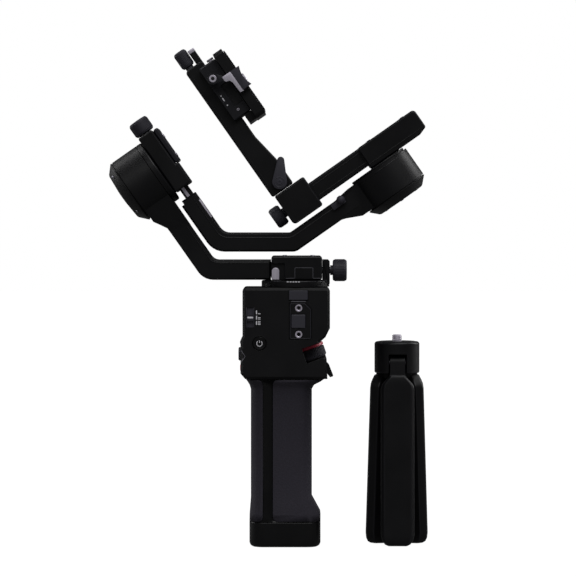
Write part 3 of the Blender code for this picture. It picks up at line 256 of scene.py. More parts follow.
# Lighter finishes for rounded edges and thin lines: partly wear, partly a painted highlight along edges that catch
# the light.
EDGES = {
    SHELL.name: SHELL.worn_and_highlit("1d1d20", (0.34, 0.42)),
    GLOSS.name: GLOSS.worn_and_highlit("1b1b1e", (0.2, 0.28)),
    RUBBER.name: RUBBER.worn_and_highlit("34323c", (0.66, 0.76)),
    SEAL_AND_SHADE.name: SEAL_AND_SHADE.worn_and_highlit("1d1d21", (0.6, 0.7)),
    ANODISED.name: ANODISED.worn_and_highlit("222225", (0.3, 0.38)),
    KNOB.name: KNOB.worn_and_highlit("3d3c46", (0.42, 0.52)),
    CAST.name: CAST.worn_and_highlit("33333a", (0.34, 0.44)),
}


# ---------------------------------------------------------------- shapes


def arc(centre: tuple[float, float], radius: float, start: float, end: float, steps: int) -> list:
    """Points of an arc, angles in degrees."""
    angles = [math.radians(start + (end - start) * i / steps) for i in range(steps + 1)]
    return [(centre[0] + radius * math.cos(a), centre[1] + radius * math.sin(a)) for a in angles]


def circled(radius: float, start: float, end: float, steps: int, z: float = 0.0) -> list:
    """3-D points round Z at one height, angles in degrees."""
    return [(*point, z) for point in arc((0, 0), radius, start, end, steps)]


def softer(bm: bmesh.types.BMesh, edges: list, rim: float) -> None:
    """Round some edges of a solid to a width."""
    bmesh.ops.bevel(bm, geom=edges, offset=rim, segments=2, profile=0.5, affect="EDGES")


def filleted(path: list, radius: float, steps: int = 8) -> list:
    """Round the inner corners of an open path.

    Args:
        path: points (x, y).
        radius: the radius of every bend.
        steps: how many straight pieces stand for one bend.

    Returns:
        The points of the rounded path.
    """
    points = [tuple(path[0])]
    for before, here, after in zip(path, path[1:], path[2:]):
        corner = Vector(here)
        back = (Vector(before) - corner).normalized()
        ahead = (Vector(after) - corner).normalized()
        half = back.angle(ahead) / 2
        reach = radius / math.tan(half)
        centre = corner + (back + ahead).normalized() * radius / math.sin(half)
        start = corner + back * reach - centre
        sweep = start.angle_signed(corner + ahead * reach - centre)
        for step in range(steps + 1):
            points.append(tuple(centre + Matrix.Rotation(-sweep * step / steps, 2) @ start))
    points.append(tuple(path[-1]))
    return points


def prism(outline: list, low: float, high: float, rim: float = 0.0) -> bmesh.types.BMesh:
    """Pull an outline of (x, z) points along Y, with a small round on both rims.

    Args:
        outline: the outline's points.
        low: the lower Y.
        high: the upper Y.
        rim: how wide the rounded rims are.

    Returns:
        The solid.
    """
    bm = bmesh.new()
    base = bm.faces.new([bm.verts.new((x, low, z)) for x, z in outline])
    pulled = bmesh.ops.extrude_face_region(bm, geom=[base])["geom"]
    bmesh.ops.translate(bm, verts=[g for g in pulled if isinstance(g, bmesh.types.BMVert)],
                        vec=(0, high - low, 0))
    bmesh.ops.recalc_face_normals(bm, faces=bm.faces)
    if rim:
        softer(bm, [e for e in bm.edges if abs(e.verts[0].co.y - e.verts[1].co.y) < 1e-6], rim)
    return bm


def block(x: tuple, y: tuple, z: tuple, rim: float = 0.0) -> bmesh.types.BMesh:
    """A box from three spans, with every edge softened by rim."""
    bm = prism([(x[0], z[0]), (x[1], z[0]), (x[1], z[1]), (x[0], z[1])], *y)
    if rim:
        softer(bm, list(bm.edges), rim)
    return bm


def turned(profile: list, segments: int = 64) -> bmesh.types.BMesh:
    """Spin a profile of (radius, height) points about Z into a closed solid."""
    bm = bmesh.new()
    verts = [bm.verts.new((radius, 0.0, height)) for radius, height in profile]
    closed = profile[0][0] > 0 and profile[-1][0] > 0
    loop = verts + verts[:1] if closed else verts
    edges = [bm.edges.new(pair) for pair in zip(loop, loop[1:])]
    bmesh.ops.spin(bm, geom=verts + edges, cent=(0, 0, 0), axis=(0, 0, 1), dvec=(0, 0, 0),
                   angle=math.tau, steps=segments, use_merge=True, use_duplicate=False)
    bmesh.ops.remove_doubles(bm, verts=bm.verts, dist=1e-4)
    bmesh.ops.recalc_face_normals(bm, faces=bm.faces)
    return bm


def threaded(radius: float, depth: float, pitch: float, low: float, high: float, inside: bool = False,
             sides: int = 28) -> bmesh.types.BMesh:
    """A helical ridge along Z, drawn a little into its rod or hole so that the two meet.

    Args:
        radius: where the ridge stands.
        depth: how far it stands out.
        pitch: the rise of one turn.
        low: the lowest Z.
        high: the highest Z.
        inside: whether it points to the axis.
        sides: straight pieces in one turn.

    Returns:
        The closed ridge.
    """
    sign = -1.0 if inside else 1.0
    section = ((radius - sign * 0.15, -0.42 * pitch), (radius + sign * depth, -0.06 * pitch),
               (radius + sign * depth, 0.06 * pitch), (radius - sign * 0.15, 0.42 * pitch))
    bm = bmesh.new()
    steps = int((high - low - pitch) / pitch * sides)
    rings = []
    for step in range(steps + 1):
        angle = math.tau * step / sides
        rise = low + pitch / 2 + pitch * step / sides
        rings.append([bm.verts.new((r * math.cos(angle), r * math.sin(angle), rise + z)) for r, z in section])
    for lower, upper in zip(rings, rings[1:]):
        for i in range(4):
            bm.faces.new((lower[i], lower[(i + 1) % 4], upper[(i + 1) % 4], upper[i]))
    bm.faces.new(rings[0])
    bm.faces.new(rings[-1])
    bmesh.ops.recalc_face_normals(bm, faces=bm.faces)
    return bm


def screw_head(radius: float, height: float) -> bmesh.types.BMesh:
    """A low socket-head screw that stands on Z = 0, few-sided because it is repeated."""
    bore = radius * 0.46
    return turned([
        (0, height - 0.55), (bore, height - 0.55), (bore, height), (radius * 0.84, height),
        (radius, height - 0.2 * radius), (radius, -0.3), (0, -0.3),
    ], 18)


def aimed(place: Matrix, at: tuple, axis: str) -> Matrix:
    """A frame at a point of another, with its Z along an axis such as +X or -Y."""
    turn = {
        "+Z": Matrix.Identity(4),
        "-Z": Matrix.Rotation(math.pi, 4, "X"),
        "+X": Matrix.Rotation(math.pi / 2, 4, "Y"),
        "-X": Matrix.Rotation(-math.pi / 2, 4, "Y"),
        "+Y": Matrix.Rotation(-math.pi / 2, 4, "X"),
        "-Y": Matrix.Rotation(math.pi / 2, 4, "X"),
    }[axis]
    return place @ shift(*at) @ turn


def leaned_at(x: float, z: float) -> tuple[float, float]:
    """A point of the leaned frame in the world's X and Z."""
    return (AXES_CROSS[0] + x * math.cos(LEAN) - z * math.sin(LEAN),
            AXES_CROSS[2] + x * math.sin(LEAN) + z * math.cos(LEAN))


def leg_meets(level: float, x: float | None = None, z: float | None = None) -> tuple[float, float]:
    """Where a leg of the leaned frame, at one X or one Z, meets a world level. The result is in the world."""
    if x is not None:
        return leaned_at(x, (level - AXES_CROSS[2] - x * math.sin(LEAN)) / math.cos(LEAN))
    return leaned_at((level - AXES_CROSS[2] - z * math.cos(LEAN)) / math.sin(LEAN), z)


# ---------------------------------------------------------------- geometry nodes


class Tree(Enum):
    """The three node trees that make what repeats or follows a path."""

    REPEAT = "repeat along a step and a turn"
    SCATTER = "an item on every point"
    PATH = "a round bead along a path"


def new_group(kind: Tree, inputs: dict) -> tuple:
    """A geometry node group with named inputs.

    Args:
        kind: which tree this is, for its name.
        inputs: socket types by name.

    Returns:
        The group, its input node and its output node.
    """
    group = bpy.data.node_groups.new(kind.value, "GeometryNodeTree")
    group.interface.new_socket("Geometry", in_out="INPUT", socket_type="NodeSocketGeometry")
    for name, socket in inputs.items():
        group.interface.new_socket(name, in_out="INPUT", socket_type=socket)
    group.interface.new_socket("Finish", in_out="INPUT", socket_type="NodeSocketMaterial")
    group.interface.new_socket("Geometry", in_out="OUTPUT", socket_type="NodeSocketGeometry")
    return group, add(group, "NodeGroupInput"), add(group, "NodeGroupOutput")


def close_group(group: bpy.types.NodeTree, source: bpy.types.Node, sink: bpy.types.Node,
                shape: bpy.types.NodeSocket) -> bpy.types.NodeTree:
    """End a tree in Realize Instances and Set Material."""
    real = add(group, "GeometryNodeRealizeInstances", None, {"Geometry": shape})
    dressed = add(group, "GeometryNodeSetMaterial", None,
                  {"Geometry": real.outputs["Geometry"], "Material": source.outputs["Finish"]})
    group.links.new(dressed.outputs["Geometry"], sink.inputs["Geometry"])
    return group


def repeat_group() -> bpy.types.NodeTree:
    """Copies of the incoming item, each moved by Step and turned by Turn about Z from the last."""
    group, source, sink = new_group(
        Tree.REPEAT, {"Count": "NodeSocketInt", "Step": "NodeSocketVector", "Turn": "NodeSocketFloat"}
    )
    line = add(group, "GeometryNodeMeshLine", {"mode": "OFFSET"},
               {"Count": source.outputs["Count"], "Offset": source.outputs["Step"]})
    index = add(group, "GeometryNodeInputIndex")
    angle = add(group, "ShaderNodeMath", {"operation": "MULTIPLY"},
                {0: index.outputs["Index"], 1: source.outputs["Turn"]})
    around = add(group, "ShaderNodeCombineXYZ", None, {"Z": angle.outputs["Value"]})
    copies = add(group, "GeometryNodeInstanceOnPoints", None,
                 {"Points": line.outputs["Mesh"], "Instance": source.outputs["Geometry"],
                  "Rotation": around.outputs["Vector"]})
    return close_group(group, source, sink, copies.outputs["Instances"])


def scatter_group() -> bpy.types.NodeTree:
    """The item object on every incoming point."""
    group, source, sink = new_group(Tree.SCATTER, {"Item": "NodeSocketObject"})
    item = add(group, "GeometryNodeObjectInfo", None, {"Object": source.outputs["Item"]})
    copies = add(group, "GeometryNodeInstanceOnPoints", None,
                 {"Points": source.outputs["Geometry"], "Instance": item.outputs["Geometry"]})
    return close_group(group, source, sink, copies.outputs["Instances"])


def path_group() -> bpy.types.NodeTree:
    """A round bead of some Radius along the incoming edges."""
    group, source, sink = new_group(Tree.PATH, {"Radius": "NodeSocketFloat"})
    curve = add(group, "GeometryNodeMeshToCurve", None, {"Mesh": source.outputs["Geometry"]})
    round_section = add(group, "GeometryNodeCurvePrimitiveCircle", {"mode": "RADIUS"},
                        {"Resolution": 8, "Radius": source.outputs["Radius"]})
    swept = add(group, "GeometryNodeCurveToMesh", None,
                {"Curve": curve.outputs["Curve"], "Profile Curve": round_section.outputs["Curve"],
                 "Fill Caps": True})
    return close_group(group, source, sink, swept.outputs["Mesh"])


def grown(kind: Tree, shape: bmesh.types.BMesh, finish: Finish, **inputs) -> bpy.types.Mesh:
    """Run one of the trees on a shape.

    Args:
        kind: the tree.
        shape: what goes in. It is freed.
        finish: the material of what comes out.
        **inputs: the tree's named inputs.

    Returns:
        The result as a plain mesh.
    """
    makers = {Tree.REPEAT: repeat_group, Tree.SCATTER: scatter_group, Tree.PATH: path_group}
    group = bpy.data.node_groups.get(kind.value) or makers[kind]()
    carrier = linked(bpy.data.objects.new("carrier", bpy.data.meshes.new("carrier")))
    shape.to_mesh(carrier.data)
    shape.free()
    modifier = carrier.modifiers.new("grow", "NODES")
    modifier.node_group = group
    sockets = {s.name: s.identifier for s in group.interface.items_tree if s.in_out == "INPUT"}
    for name, value in {**inputs, "Finish": finish.material()}.items():
        modifier[sockets[name]] = value
    graph = bpy.context.evaluated_depsgraph_get()
    made = bpy.data.meshes.new_from_object(carrier.evaluated_get(graph))
    bpy.data.objects.remove(carrier)
    return made


def ring_of(item: bmesh.types.BMesh, count: int, finish: Finish) -> bpy.types.Mesh:
    """Copies of an item all round Z."""
    return grown(Tree.REPEAT, item, finish, Count=count, Step=(0.0, 0.0, 0.0), Turn=math.tau / count)


def row_of(item: bmesh.types.BMesh, count: int, step: tuple, finish: Finish) -> bpy.types.Mesh:
    """Copies of an item along a line."""
    return grown(Tree.REPEAT, item, finish, Count=count, Step=step, Turn=0.0)


def bead(points: list, radius: float, finish: Finish, loop: bool = False) -> bpy.types.Mesh:
    """A thin round bead through 3-D points."""
    bm = bmesh.new()
    verts = [bm.verts.new(point) for point in points]
    for pair in zip(verts, verts[1:] + verts[:1] if loop else verts[1:]):
        bm.edges.new(pair)
    return grown(Tree.PATH, bm, finish, Radius=radius)


def screws_at(points: list, radius: float, height: float, finish: Finish) -> bpy.types.Mesh:
    """Screw heads that stand on points of a plane across Z."""
    item = bpy.data.objects.new("screw item", bpy.data.meshes.new("screw item"))
    head = screw_head(radius, height)
    head.to_mesh(item.data)
    head.free()
    bm = bmesh.new()
    for point in points:
        bm.verts.new(point)
    made = grown(Tree.SCATTER, bm, finish, Item=item)
    bpy.data.objects.remove(item)
    return made


# ---------------------------------------------------------------- pieces


def finished(thing: bpy.types.Object, name: str, body: str, finish: Finish, nodes: tuple) -> None:
    """Let a piece ride on its body and say what it stands for."""
    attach(thing, body)
    if nodes:
        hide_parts(*nodes)
    LOG.info("%s rides on %s in %s", name, body, finish.name)


def publish(name: str, shapes: list, place: Matrix, body: str, finish: Finish, nodes: tuple = ()) -> None:
    """Make one piece of some shapes drawn in millimetres.

    Args:
        name: the piece's name.
        shapes: bmeshes or meshes. All are used up.
        place: the frame that they are drawn in.
        body: the body that it rides on.
        finish: its material.
        nodes: the CAD nodes that it stands for.
    """
    whole = bmesh.new()
    for shape in shapes:
        mesh = shape
        if isinstance(shape, bmesh.types.BMesh):
            mesh = bpy.data.meshes.new("shape")
            shape.to_mesh(mesh)
            shape.free()
        whole.from_mesh(mesh)
        bpy.data.meshes.remove(mesh)
    whole.transform(place @ Matrix.Scale(MM, 4))
    for face in whole.faces:
        face.material_index = 0
    mesh = bpy.data.meshes.new(name)
    whole.to_mesh(mesh)
    whole.free()
    mesh.materials.clear()
    mesh.materials.append(finish.material())
    mesh.shade_smooth()
    mesh.set_sharp_from_angle(angle=SMOOTH_ANGLE)
    finished(linked(bpy.data.objects.new(name, mesh)), name, body, finish, nodes)


def publish_screws(name: str, points: list, size: tuple, place: Matrix, body: str, finish: Finish = ZINC) -> None:
    """Make one piece of screw heads on some points. The size is a radius and a height."""
    publish(name, [screws_at(points, *size, finish)], place, body, finish)


def publish_highlight_lines(name: str, runs: list, place: Matrix, body: str) -> None:
    """Make one piece of thin lines let into both sides of an arm, in the lighter edge finish: the lines are real,
    and their lighter colour is a painted highlight.

    Args:
        name: the piece's name.
        runs: for each pair of lines its (x, z) points, how far from the middle it runs, and its radius.
        place: the frame that the lines are drawn in.
        body: the body that the piece rides on.
    """
    lines = [bead([(x, y, z) for x, z in path], radius, GLOSS)
             for path, half, radius in runs for y in (-half, half)]
    publish(name, lines, place, body, EDGES[ANODISED.name])


def area_of(mesh: bpy.types.Mesh) -> float:
    """The surface of a mesh as it is drawn, in square metres."""
    mesh.calc_loop_triangles()
    return sum(triangle.area for triangle in mesh.loop_triangles)


def merged(node: str, flatten: bool) -> bpy.types.Mesh:
    """A CAD node's shape with its loose triangles joined.

    Args:
        node: the CAD node.
        flatten: whether triangles of one plane become one face.

    Returns:
        The mesh, smooth up to the sharp edges.
    """
    bm = bmesh.new()
    bm.from_mesh(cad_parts[node].data)
    bmesh.ops.remove_doubles(bm, verts=bm.verts, dist=WELD)
    if flatten:
        bmesh.ops.dissolve_limit(bm, angle_limit=FLAT_ANGLE, verts=bm.verts, edges=bm.edges)
    mesh = bpy.data.meshes.new(node)
    bm.to_mesh(mesh)
    bm.free()
    mesh.materials.clear()
    mesh.shade_smooth()
    mesh.set_sharp_from_angle(angle=SMOOTH_ANGLE)
    return mesh


def softened(thing: bpy.types.Object, edge: float, limit: float, clamp: bool) -> bpy.types.Mesh:
    """The shape of a thing with its edges past a limit in degrees rounded to a width in millimetres."""
    bevel = thing.modifiers.new("edges", "BEVEL")
    bevel.width = edge * MM
    bevel.segments = 2
    bevel.limit_method = "ANGLE"
    bevel.angle_limit = math.radians(limit)
    bevel.use_clamp_overlap = clamp
    # The rounds take the second material, the lighter edge finish: wear along the edges, and a painted highlight
    # on them.
    bevel.material = 1
    thing.modifiers.new("normals", "WEIGHTED_NORMAL").weight = 90
    made = bpy.data.meshes.new_from_object(thing.evaluated_get(bpy.context.evaluated_depsgraph_get()))
    thing.modifiers.clear()
    return made


def refined(node: str, body: str, finish: Finish, edge: float = 0.35, limit: float = 26.0) -> None:
    """Stand in for a CAD node with the same shape, its edges rounded and given the lighter edge finish, which is
    wear and a painted highlight.

    A round that would fold over its neighbours, which shows as a larger surface, is made narrower, and
    else left out.

    Args:
        node: the CAD node.
        body: its body.
        finish: its material.
        edge: how wide the rounded edges are. They stay sharp at 0.
        limit: the angle in degrees past which an edge is rounded.
    """
    thing = linked(bpy.data.objects.new(f"{node}_finished", merged(node, bool(edge))))
    for material in (finish.material(), EDGES.get(finish.name, finish).material()):
        thing.data.materials.append(material)
    rounds = "sharp"
    for clamp in (False, True) if edge else ():
        made = softened(thing, edge, limit, clamp)
        if area_of(made) < FOLDED * area_of(thing.data):
            thing.data = made
            rounds = "narrowed" if clamp else "full"
            break
    else:
        if edge:
            thing.data = merged(node, False)
            thing.data.materials.append(finish.material())
    LOG.info("%s has %s rounds", node, rounds)
    finished(thing, thing.name, body, finish, (node,))


@dataclass(frozen=True)
class Knob:
    """A clamp knob on its threaded shaft. Z runs outwards from its inner face."""

    name: str
    body: str
    radius: float
    height: float
    shaft: tuple[float, float]
    ribs: int

    def build(self, place: Matrix) -> None:
        """Make the knob with its fine ribs, and its threaded shaft."""
        radius, height = self.radius, self.height
        shaft, length = self.shaft
        profile = [(0, -1.6), (shaft + 0.9, -1.6), (shaft + 0.9, 0), (radius - 1.3, 0), (radius - 0.62, 0.35),
                   (radius - 0.32, 1.0), (radius - 0.32, height - 1.0), (radius - 0.62, height - 0.35),
                   (radius - 1.3, height), (radius - 2.2, height), (radius - 2.5, height - 0.45),
                   (0, height - 0.45)]
        half = 0.32 * math.tau * radius / self.ribs
        rib = prism([(radius - 0.6, 0.9), (radius - 0.02, 1.4), (radius - 0.02, height - 1.4),
                     (radius - 0.6, height - 0.9)], -half, half)
        publish(f"{self.name}_grip", [turned(profile, 72), ring_of(rib, self.ribs, KNOB)], place,
                self.body, KNOB, (self.name,))
        rod = turned([(0, -length), (shaft - 0.5, -length), (shaft - 0.25, 0.4 - length), (shaft - 0.25, 0.2),
                      (0, 0.2)], 32)
        shapes = [rod]
        if length > 3:
            shapes.append(threaded(shaft - 0.25, 0.25, 0.7, -length, 0.2))
        publish(f"{self.name}_shaft", shapes, place, self.body, ZINC)


# ---------------------------------------------------------------- grip and head


@dataclass(frozen=True)
class Grip:
    """The grip, its rubber pads, the base and what is inside."""

    socket: float = 3.2
    socket_depth: float = 12.4
    screw_ring: float = 11.5
    screw_count: int = 4

    def build(self) -> None:
        """Make the pieces of the grip."""
        for node, finish in (("grip_core", GLOSS), ("grip_front_pad", RUBBER), ("grip_rear_pad", RUBBER)):
            refined(node, "handle", finish, 0.0)
        refined("base_cap", "handle", GLOSS, 0.35, 34.0)
        self.insert()
        for node in ("battery_cell_front", "battery_cell_rear"):
            refined(node, "handle", SLEEVE, 0.2)
        screws = ring_of(self.base_screw(), self.screw_count, ZINC)
        publish("base_screws", [screws], aimed(HANDLE, (0, 0, 0.75), "-Z"), "handle", ZINC)

    def base_screw(self) -> bmesh.types.BMesh:
        """One base screw, set off the middle."""
        bm = screw_head(2.2, 0.5)
        bmesh.ops.translate(bm, verts=bm.verts, vec=(self.screw_ring, 0, 0))
        return bm

    def insert(self) -> None:
        """The brass thread for a quarter-inch screw."""
        outer, bore, top = self.socket + 2.2, self.socket, self.socket_depth + 0.3
        profile = [(bore + 0.5, 0.3), (outer - 0.3, 0.3), (outer, 0.6), (outer, top), (bore, top), (bore, 0.8)]
        thread = threaded(bore, 0.25, QUARTER_INCH_PITCH, 1.0, top - 0.4, inside=True)
        publish("base_thread", [turned(profile, 48), thread], HANDLE, "handle", BRASS, ("base_thread_insert",))


@dataclass(frozen=True)
class Head:
    """The control head with its ports, switch and screen. X is measured in the handle's frame."""

    face: float = -23.0
    far_face: float = 23.0
    power: tuple[float, float] = (-16.4, 131.9)
    inserts: tuple = ((8.8, 137.7), (8.8, 154.6))
    switch: tuple[float, float] = (-22.3, 148.6)
    mark_pitch: float = 3.4

    def build(self) -> None:
        """Make the shells, fittings and marks."""
        for node in ("head_shell_right", "head_shell_left"):
            refined(node, "handle", SHELL, 0.35)
        refined("accessory_plate", "handle", SHELL, 0.2)
        refined("contact_cover", "handle", KNOB, 0.25)
        refined("port_flap", "port_flap", KNOB, 0.3)
        refined("main_board", "handle", BOARD, 0.1)
        refined("touch_screen", "handle", GLASS, 0.3)
        refined("pan_stator", "handle", COPPER, 0.3)
        self.port_inserts()
        self.power_button()
        self.mode_switch()
        self.panel_lines()
        self.far_side()

    def on_face(self, x: float, z: float) -> Matrix:
        """A frame on the near face, with its Z out of the face."""
        return aimed(HANDLE, (x, self.face, z), "-Y")

    def port_inserts(self) -> None:
        """The two threaded inserts of the accessory port."""
        for node, at in zip(("port_insert_lower", "port_insert_upper"), self.inserts):
            ring = turned([(1.7, 0.0), (2.15, 0.0), (2.3, -0.15), (2.3, -2.7), (1.4, -2.7), (1.4, -0.5)], 40)
            thread = threaded(1.4, 0.16, 0.5, -2.6, -0.2, inside=True)
            place = self.on_face(*at)
            publish(f"{node}_ring", [ring, thread], place, "handle", STEEL, (node,))
            plug = turned([(0, -2.65), (1.5, -2.65), (1.5, -2.0), (1.2, -1.9), (0, -1.9)], 24)
            publish(f"{node}_plug", [plug], place, "handle", SEAL_AND_SHADE)

    def power_button(self) -> None:
        """The round power button with its ring-and-bar sign."""
        place = self.on_face(*self.power)
        button = turned([(0, -3.0), (4.3, -3.0), (4.3, 0.0), (4.05, 0.28), (3.7, 0.3), (3.2, 0.12), (0, 0.02)], 56)
        publish("power_button_cap", [button], place, "power_button", GLOSS, ("power_button",))
        ring = circled(1.75, 125, 415, 28, 0.12)
        bar = [(0, 0.5, 0.12), (0, 2.1, 0.12)]
        publish("power_sign", [bead(ring, 0.24, INK), bead(bar, 0.24, INK)], place, "power_button", INK)

    def mode_switch(self) -> None:
        """The sliding switch with its index bar, and three plain marks beside it."""
        refined("mode_switch", "mode_switch", KNOB, 0.25)
        x, z = self.switch
        bar = block((x - 1.85, x + 1.85), (self.face - 0.85, self.face - 0.5), (z - 0.55, z + 0.55), 0.1)
        publish("mode_index", [bar], HANDLE, "mode_switch", INK)
        ribs = []
        for low in (z - 2.1, z + 1.2):
            rib = block((x - 2.0, x + 2.0), (self.face - 0.9, self.face - 0.5), (low, low + 0.3))
            ribs.append(row_of(rib, 2, (0, 0, 0.6), KNOB))
        publish("mode_ribs", ribs, HANDLE, "mode_switch", KNOB)
        # The track's rail and rims take the lighter edge finish: a painted highlight along them.
        rail = block((x - 2.2, x + 2.2), (self.face + 1.15, self.face + 1.38), (z - 6.4, z + 6.4))
        rims = [block((side - 0.16, side + 0.16), (self.face - 0.1, self.face + 1.3), (z - 6.5, z + 6.5), 0.05)
                for side in (x - 2.35, x + 2.35)]
        publish("mode_track", [rail, *rims], HANDLE, "handle", EDGES[KNOB.name])
        marks = []
        for step, dots in enumerate((3, 2, 1)):
            low = z - 4.6 + self.mark_pitch * step
            marks.append(self.printed((-18.6, -17.9), (low, low + 2.4)))
            for foot in (low, low + 0.9, low + 1.8)[:dots]:
                marks.append(self.printed((-17.3, -15.7), (foot, foot + 0.5)))
        publish("mode_marks", marks, HANDLE, "handle", INK)

    def printed(self, x: tuple, z: tuple) -> bmesh.types.BMesh:
        """A printed patch on the near face."""
        return block(x, (self.face - 0.06, self.face + 0.1), z)

    def panel_lines(self) -> None:
        """The painted highlight line along the port flap's lower seam, the frame of the contact cover and the rear
        chevron.
        """
        publish("flap_line", [self.printed((4.0, 13.4), (158.7, 159.2))], HANDLE, "handle", GREY_INK_AND_HIGHLIGHT)
        y = self.face + 0.08
        rim = filleted([(3.4, 146), (3.4, 135.2), (16.4, 135.2), (16.4, 153.7), (12.7, 157.4), (3.4, 157.4),
                        (3.4, 146)], 0.6, 3)
        publish("port_rim", [bead([(px, y, pz) for px, pz in rim[1:]], 0.16, KNOB, True)], HANDLE, "handle", KNOB)
        halo = bead(circled(4.95, 0, 350, 35), 0.14, SHELL, True)
        publish("power_surround", [halo], self.on_face(*self.power), "handle", SHELL)
        chevron = [(-28.1, y, 127.4), (-25.6, y, 123.6), (-28.1, y, 119.8)]
        publish("rear_chevron", [bead(chevron, 0.26, KNOB)], HANDLE, "handle", GREY_INK_AND_HIGHLIGHT)

    def far_side(self) -> None:
        """Case screws and the lines of a plain status display on the far side."""
        points = [(-23.6, -163.6, 0), (23.8, -163.6, 0), (-24.2, -114.2, 0), (-4.0, -114.2, 0)]
        place = aimed(HANDLE, (0, self.far_face, 0), "+Y")
        publish_screws("case_screws", points, (1.7, 0.35), place, "handle")
        y = self.far_face - 0.08
        bars = [block((-12.5 + 4 * i, -10.0 + 4 * i), (y - 0.1, y + 0.02), (137.5, 139.5 + 2.2 * i))
                 for i in range(3)]
        bars += [block((3.0, 9.5), (y - 0.1, y + 0.02), (z, z + 0.7)) for z in (156.0, 153.4, 150.8)]
        publish("screen_marks", bars, HANDLE, "handle", GREY_INK_AND_HIGHLIGHT)


@dataclass(frozen=True)
class Controls:
    """The dial, trigger, joystick and rear buttons."""

    dial_at: tuple[float, float] = (14.0, 124.2)
    dial_tilt: float = 18.7
    dial_radius: float = 12.4
    dial_height: float = 9.1
    stripe: float = 1.9
    ridges: int = 60

    def build(self) -> None:
        """Make the controls."""
        self.dial()
        refined("trigger", "trigger", SHELL, 0.3)
        refined("joystick_yoke", "joystick_yoke", ANODISED, 0.2)
        self.joystick()
        refined("record_button", "record_button", CRIMSON, 0.2)
        refined("menu_button", "menu_button", KNOB, 0.25)

    def dial(self) -> None:
        """The ridged front dial and its crimson ring."""
        turn = Matrix.Rotation(math.radians(-self.dial_tilt), 4, "Y")
        place = HANDLE @ shift(self.dial_at[0], 0, self.dial_at[1]) @ turn
        radius, half = self.dial_radius, self.dial_height / 2
        low = half - self.stripe
        profile = [(0, -half), (radius - 1.0, -half), (radius - 0.5, 0.5 - half), (radius - 0.5, low - 0.4),
                   (radius - 2.1, low - 0.3), (radius - 2.1, half), (0, half)]
        ridge = prism([(radius - 0.8, 0.5 - half), (radius - 0.03, 1.0 - half), (radius - 0.03, low - 0.7),
                       (radius - 0.8, low - 0.35)], -0.36, 0.36)
        publish("dial_wheel", [turned(profile, 90), ring_of(ridge, self.ridges, KNOB)], place, "front_dial",
                KNOB, ("front_dial",))
        ring = turned([(radius - 1.8, low), (radius - 0.2, low), (radius, low + 0.2), (radius, half - 0.25),
                       (radius - 0.25, half), (radius - 1.8, half)], 90)
        publish("dial_stripe", [ring], place, "front_dial", CRIMSON, ("dial_ring",))

    def joystick(self) -> None:
        """The thumb stick: a dished cap with a ring of nubs."""
        place = aimed(HANDLE, (-25.0, 0, 124.2), "-X")
        cap = turned([(0, 1.2), (1.6, 1.2), (1.6, 3.3), (3.9, 3.5), (4.4, 3.9), (4.4, 4.6), (4.0, 5.15),
                      (3.5, 5.25), (2.6, 4.95), (0, 4.8)], 48)
        nub = turned([(0, 0), (0.36, 0.0), (0.3, 0.22), (0, 0.3)], 10)
        bmesh.ops.translate(nub, verts=nub.verts, vec=(3.0, 0, 4.95))
        publish("joystick_pad", [cap, ring_of(nub, 12, KNOB)], place, "joystick_cap", KNOB, ("joystick_cap",))


# ---------------------------------------------------------------- pan axis and arms


@dataclass(frozen=True)
class PanAxis:
    """The pan motor's rotor and the holder of the lower arm."""

    knob: Knob = Knob("pan_knob", "pan_knob", 7.2, 9.1, (2.3, 9.8), 44)
    knob_at: tuple = (24.2, 0.0, 178.6)
    face: float = -14.0

    def build(self) -> None:
        """Make the rotor, holder, lock tab and knob."""
        refined("pan_rotor", "pan", ANODISED, 0.3)
        refined("pan_arm_holder", "pan", ANODISED, 0.35)
        refined("pan_lock_lever", "pan_lock_lever", STEEL, 0.3)
        self.knob.build(aimed(WORLD, self.knob_at, "+X"))
        y = self.face - 0.02
        # Grey lines along the holder's stepped outline: a painted highlight on its edges.
        steps = [(-6.2, 173.6), (-0.4, 173.6), (-0.4, 180.4), (11.2, 180.4), (11.2, 173.6), (16.6, 173.6)]
        lines = bead([(x, y, z) for x, z in filleted(steps, 0.5, 3)], 0.14, GREY_INK_AND_HIGHLIGHT)
        publish("holder_outline", [lines], WORLD, "pan", GREY_INK_AND_HIGHLIGHT)
        dash = block((-5.6, -4.4), (y - 0.02, y + 0.1), (172.5, 173.1))
        publish("lock_marks", [row_of(dash, 5, (1.8, 0, 0), INK)], aimed(WORLD, (0, -8.0, -1.3), "+Z"), "pan", INK)
        points = [(-9.0, 8.0, 0), (9.0, 8.0, 0), (-9.0, -8.0, 0), (9.0, -8.0, 0)]
        publish_screws("holder_screws", points, (1.5, 0.35), aimed(WORLD, (2, 0, 188.0), "+Z"), "pan")


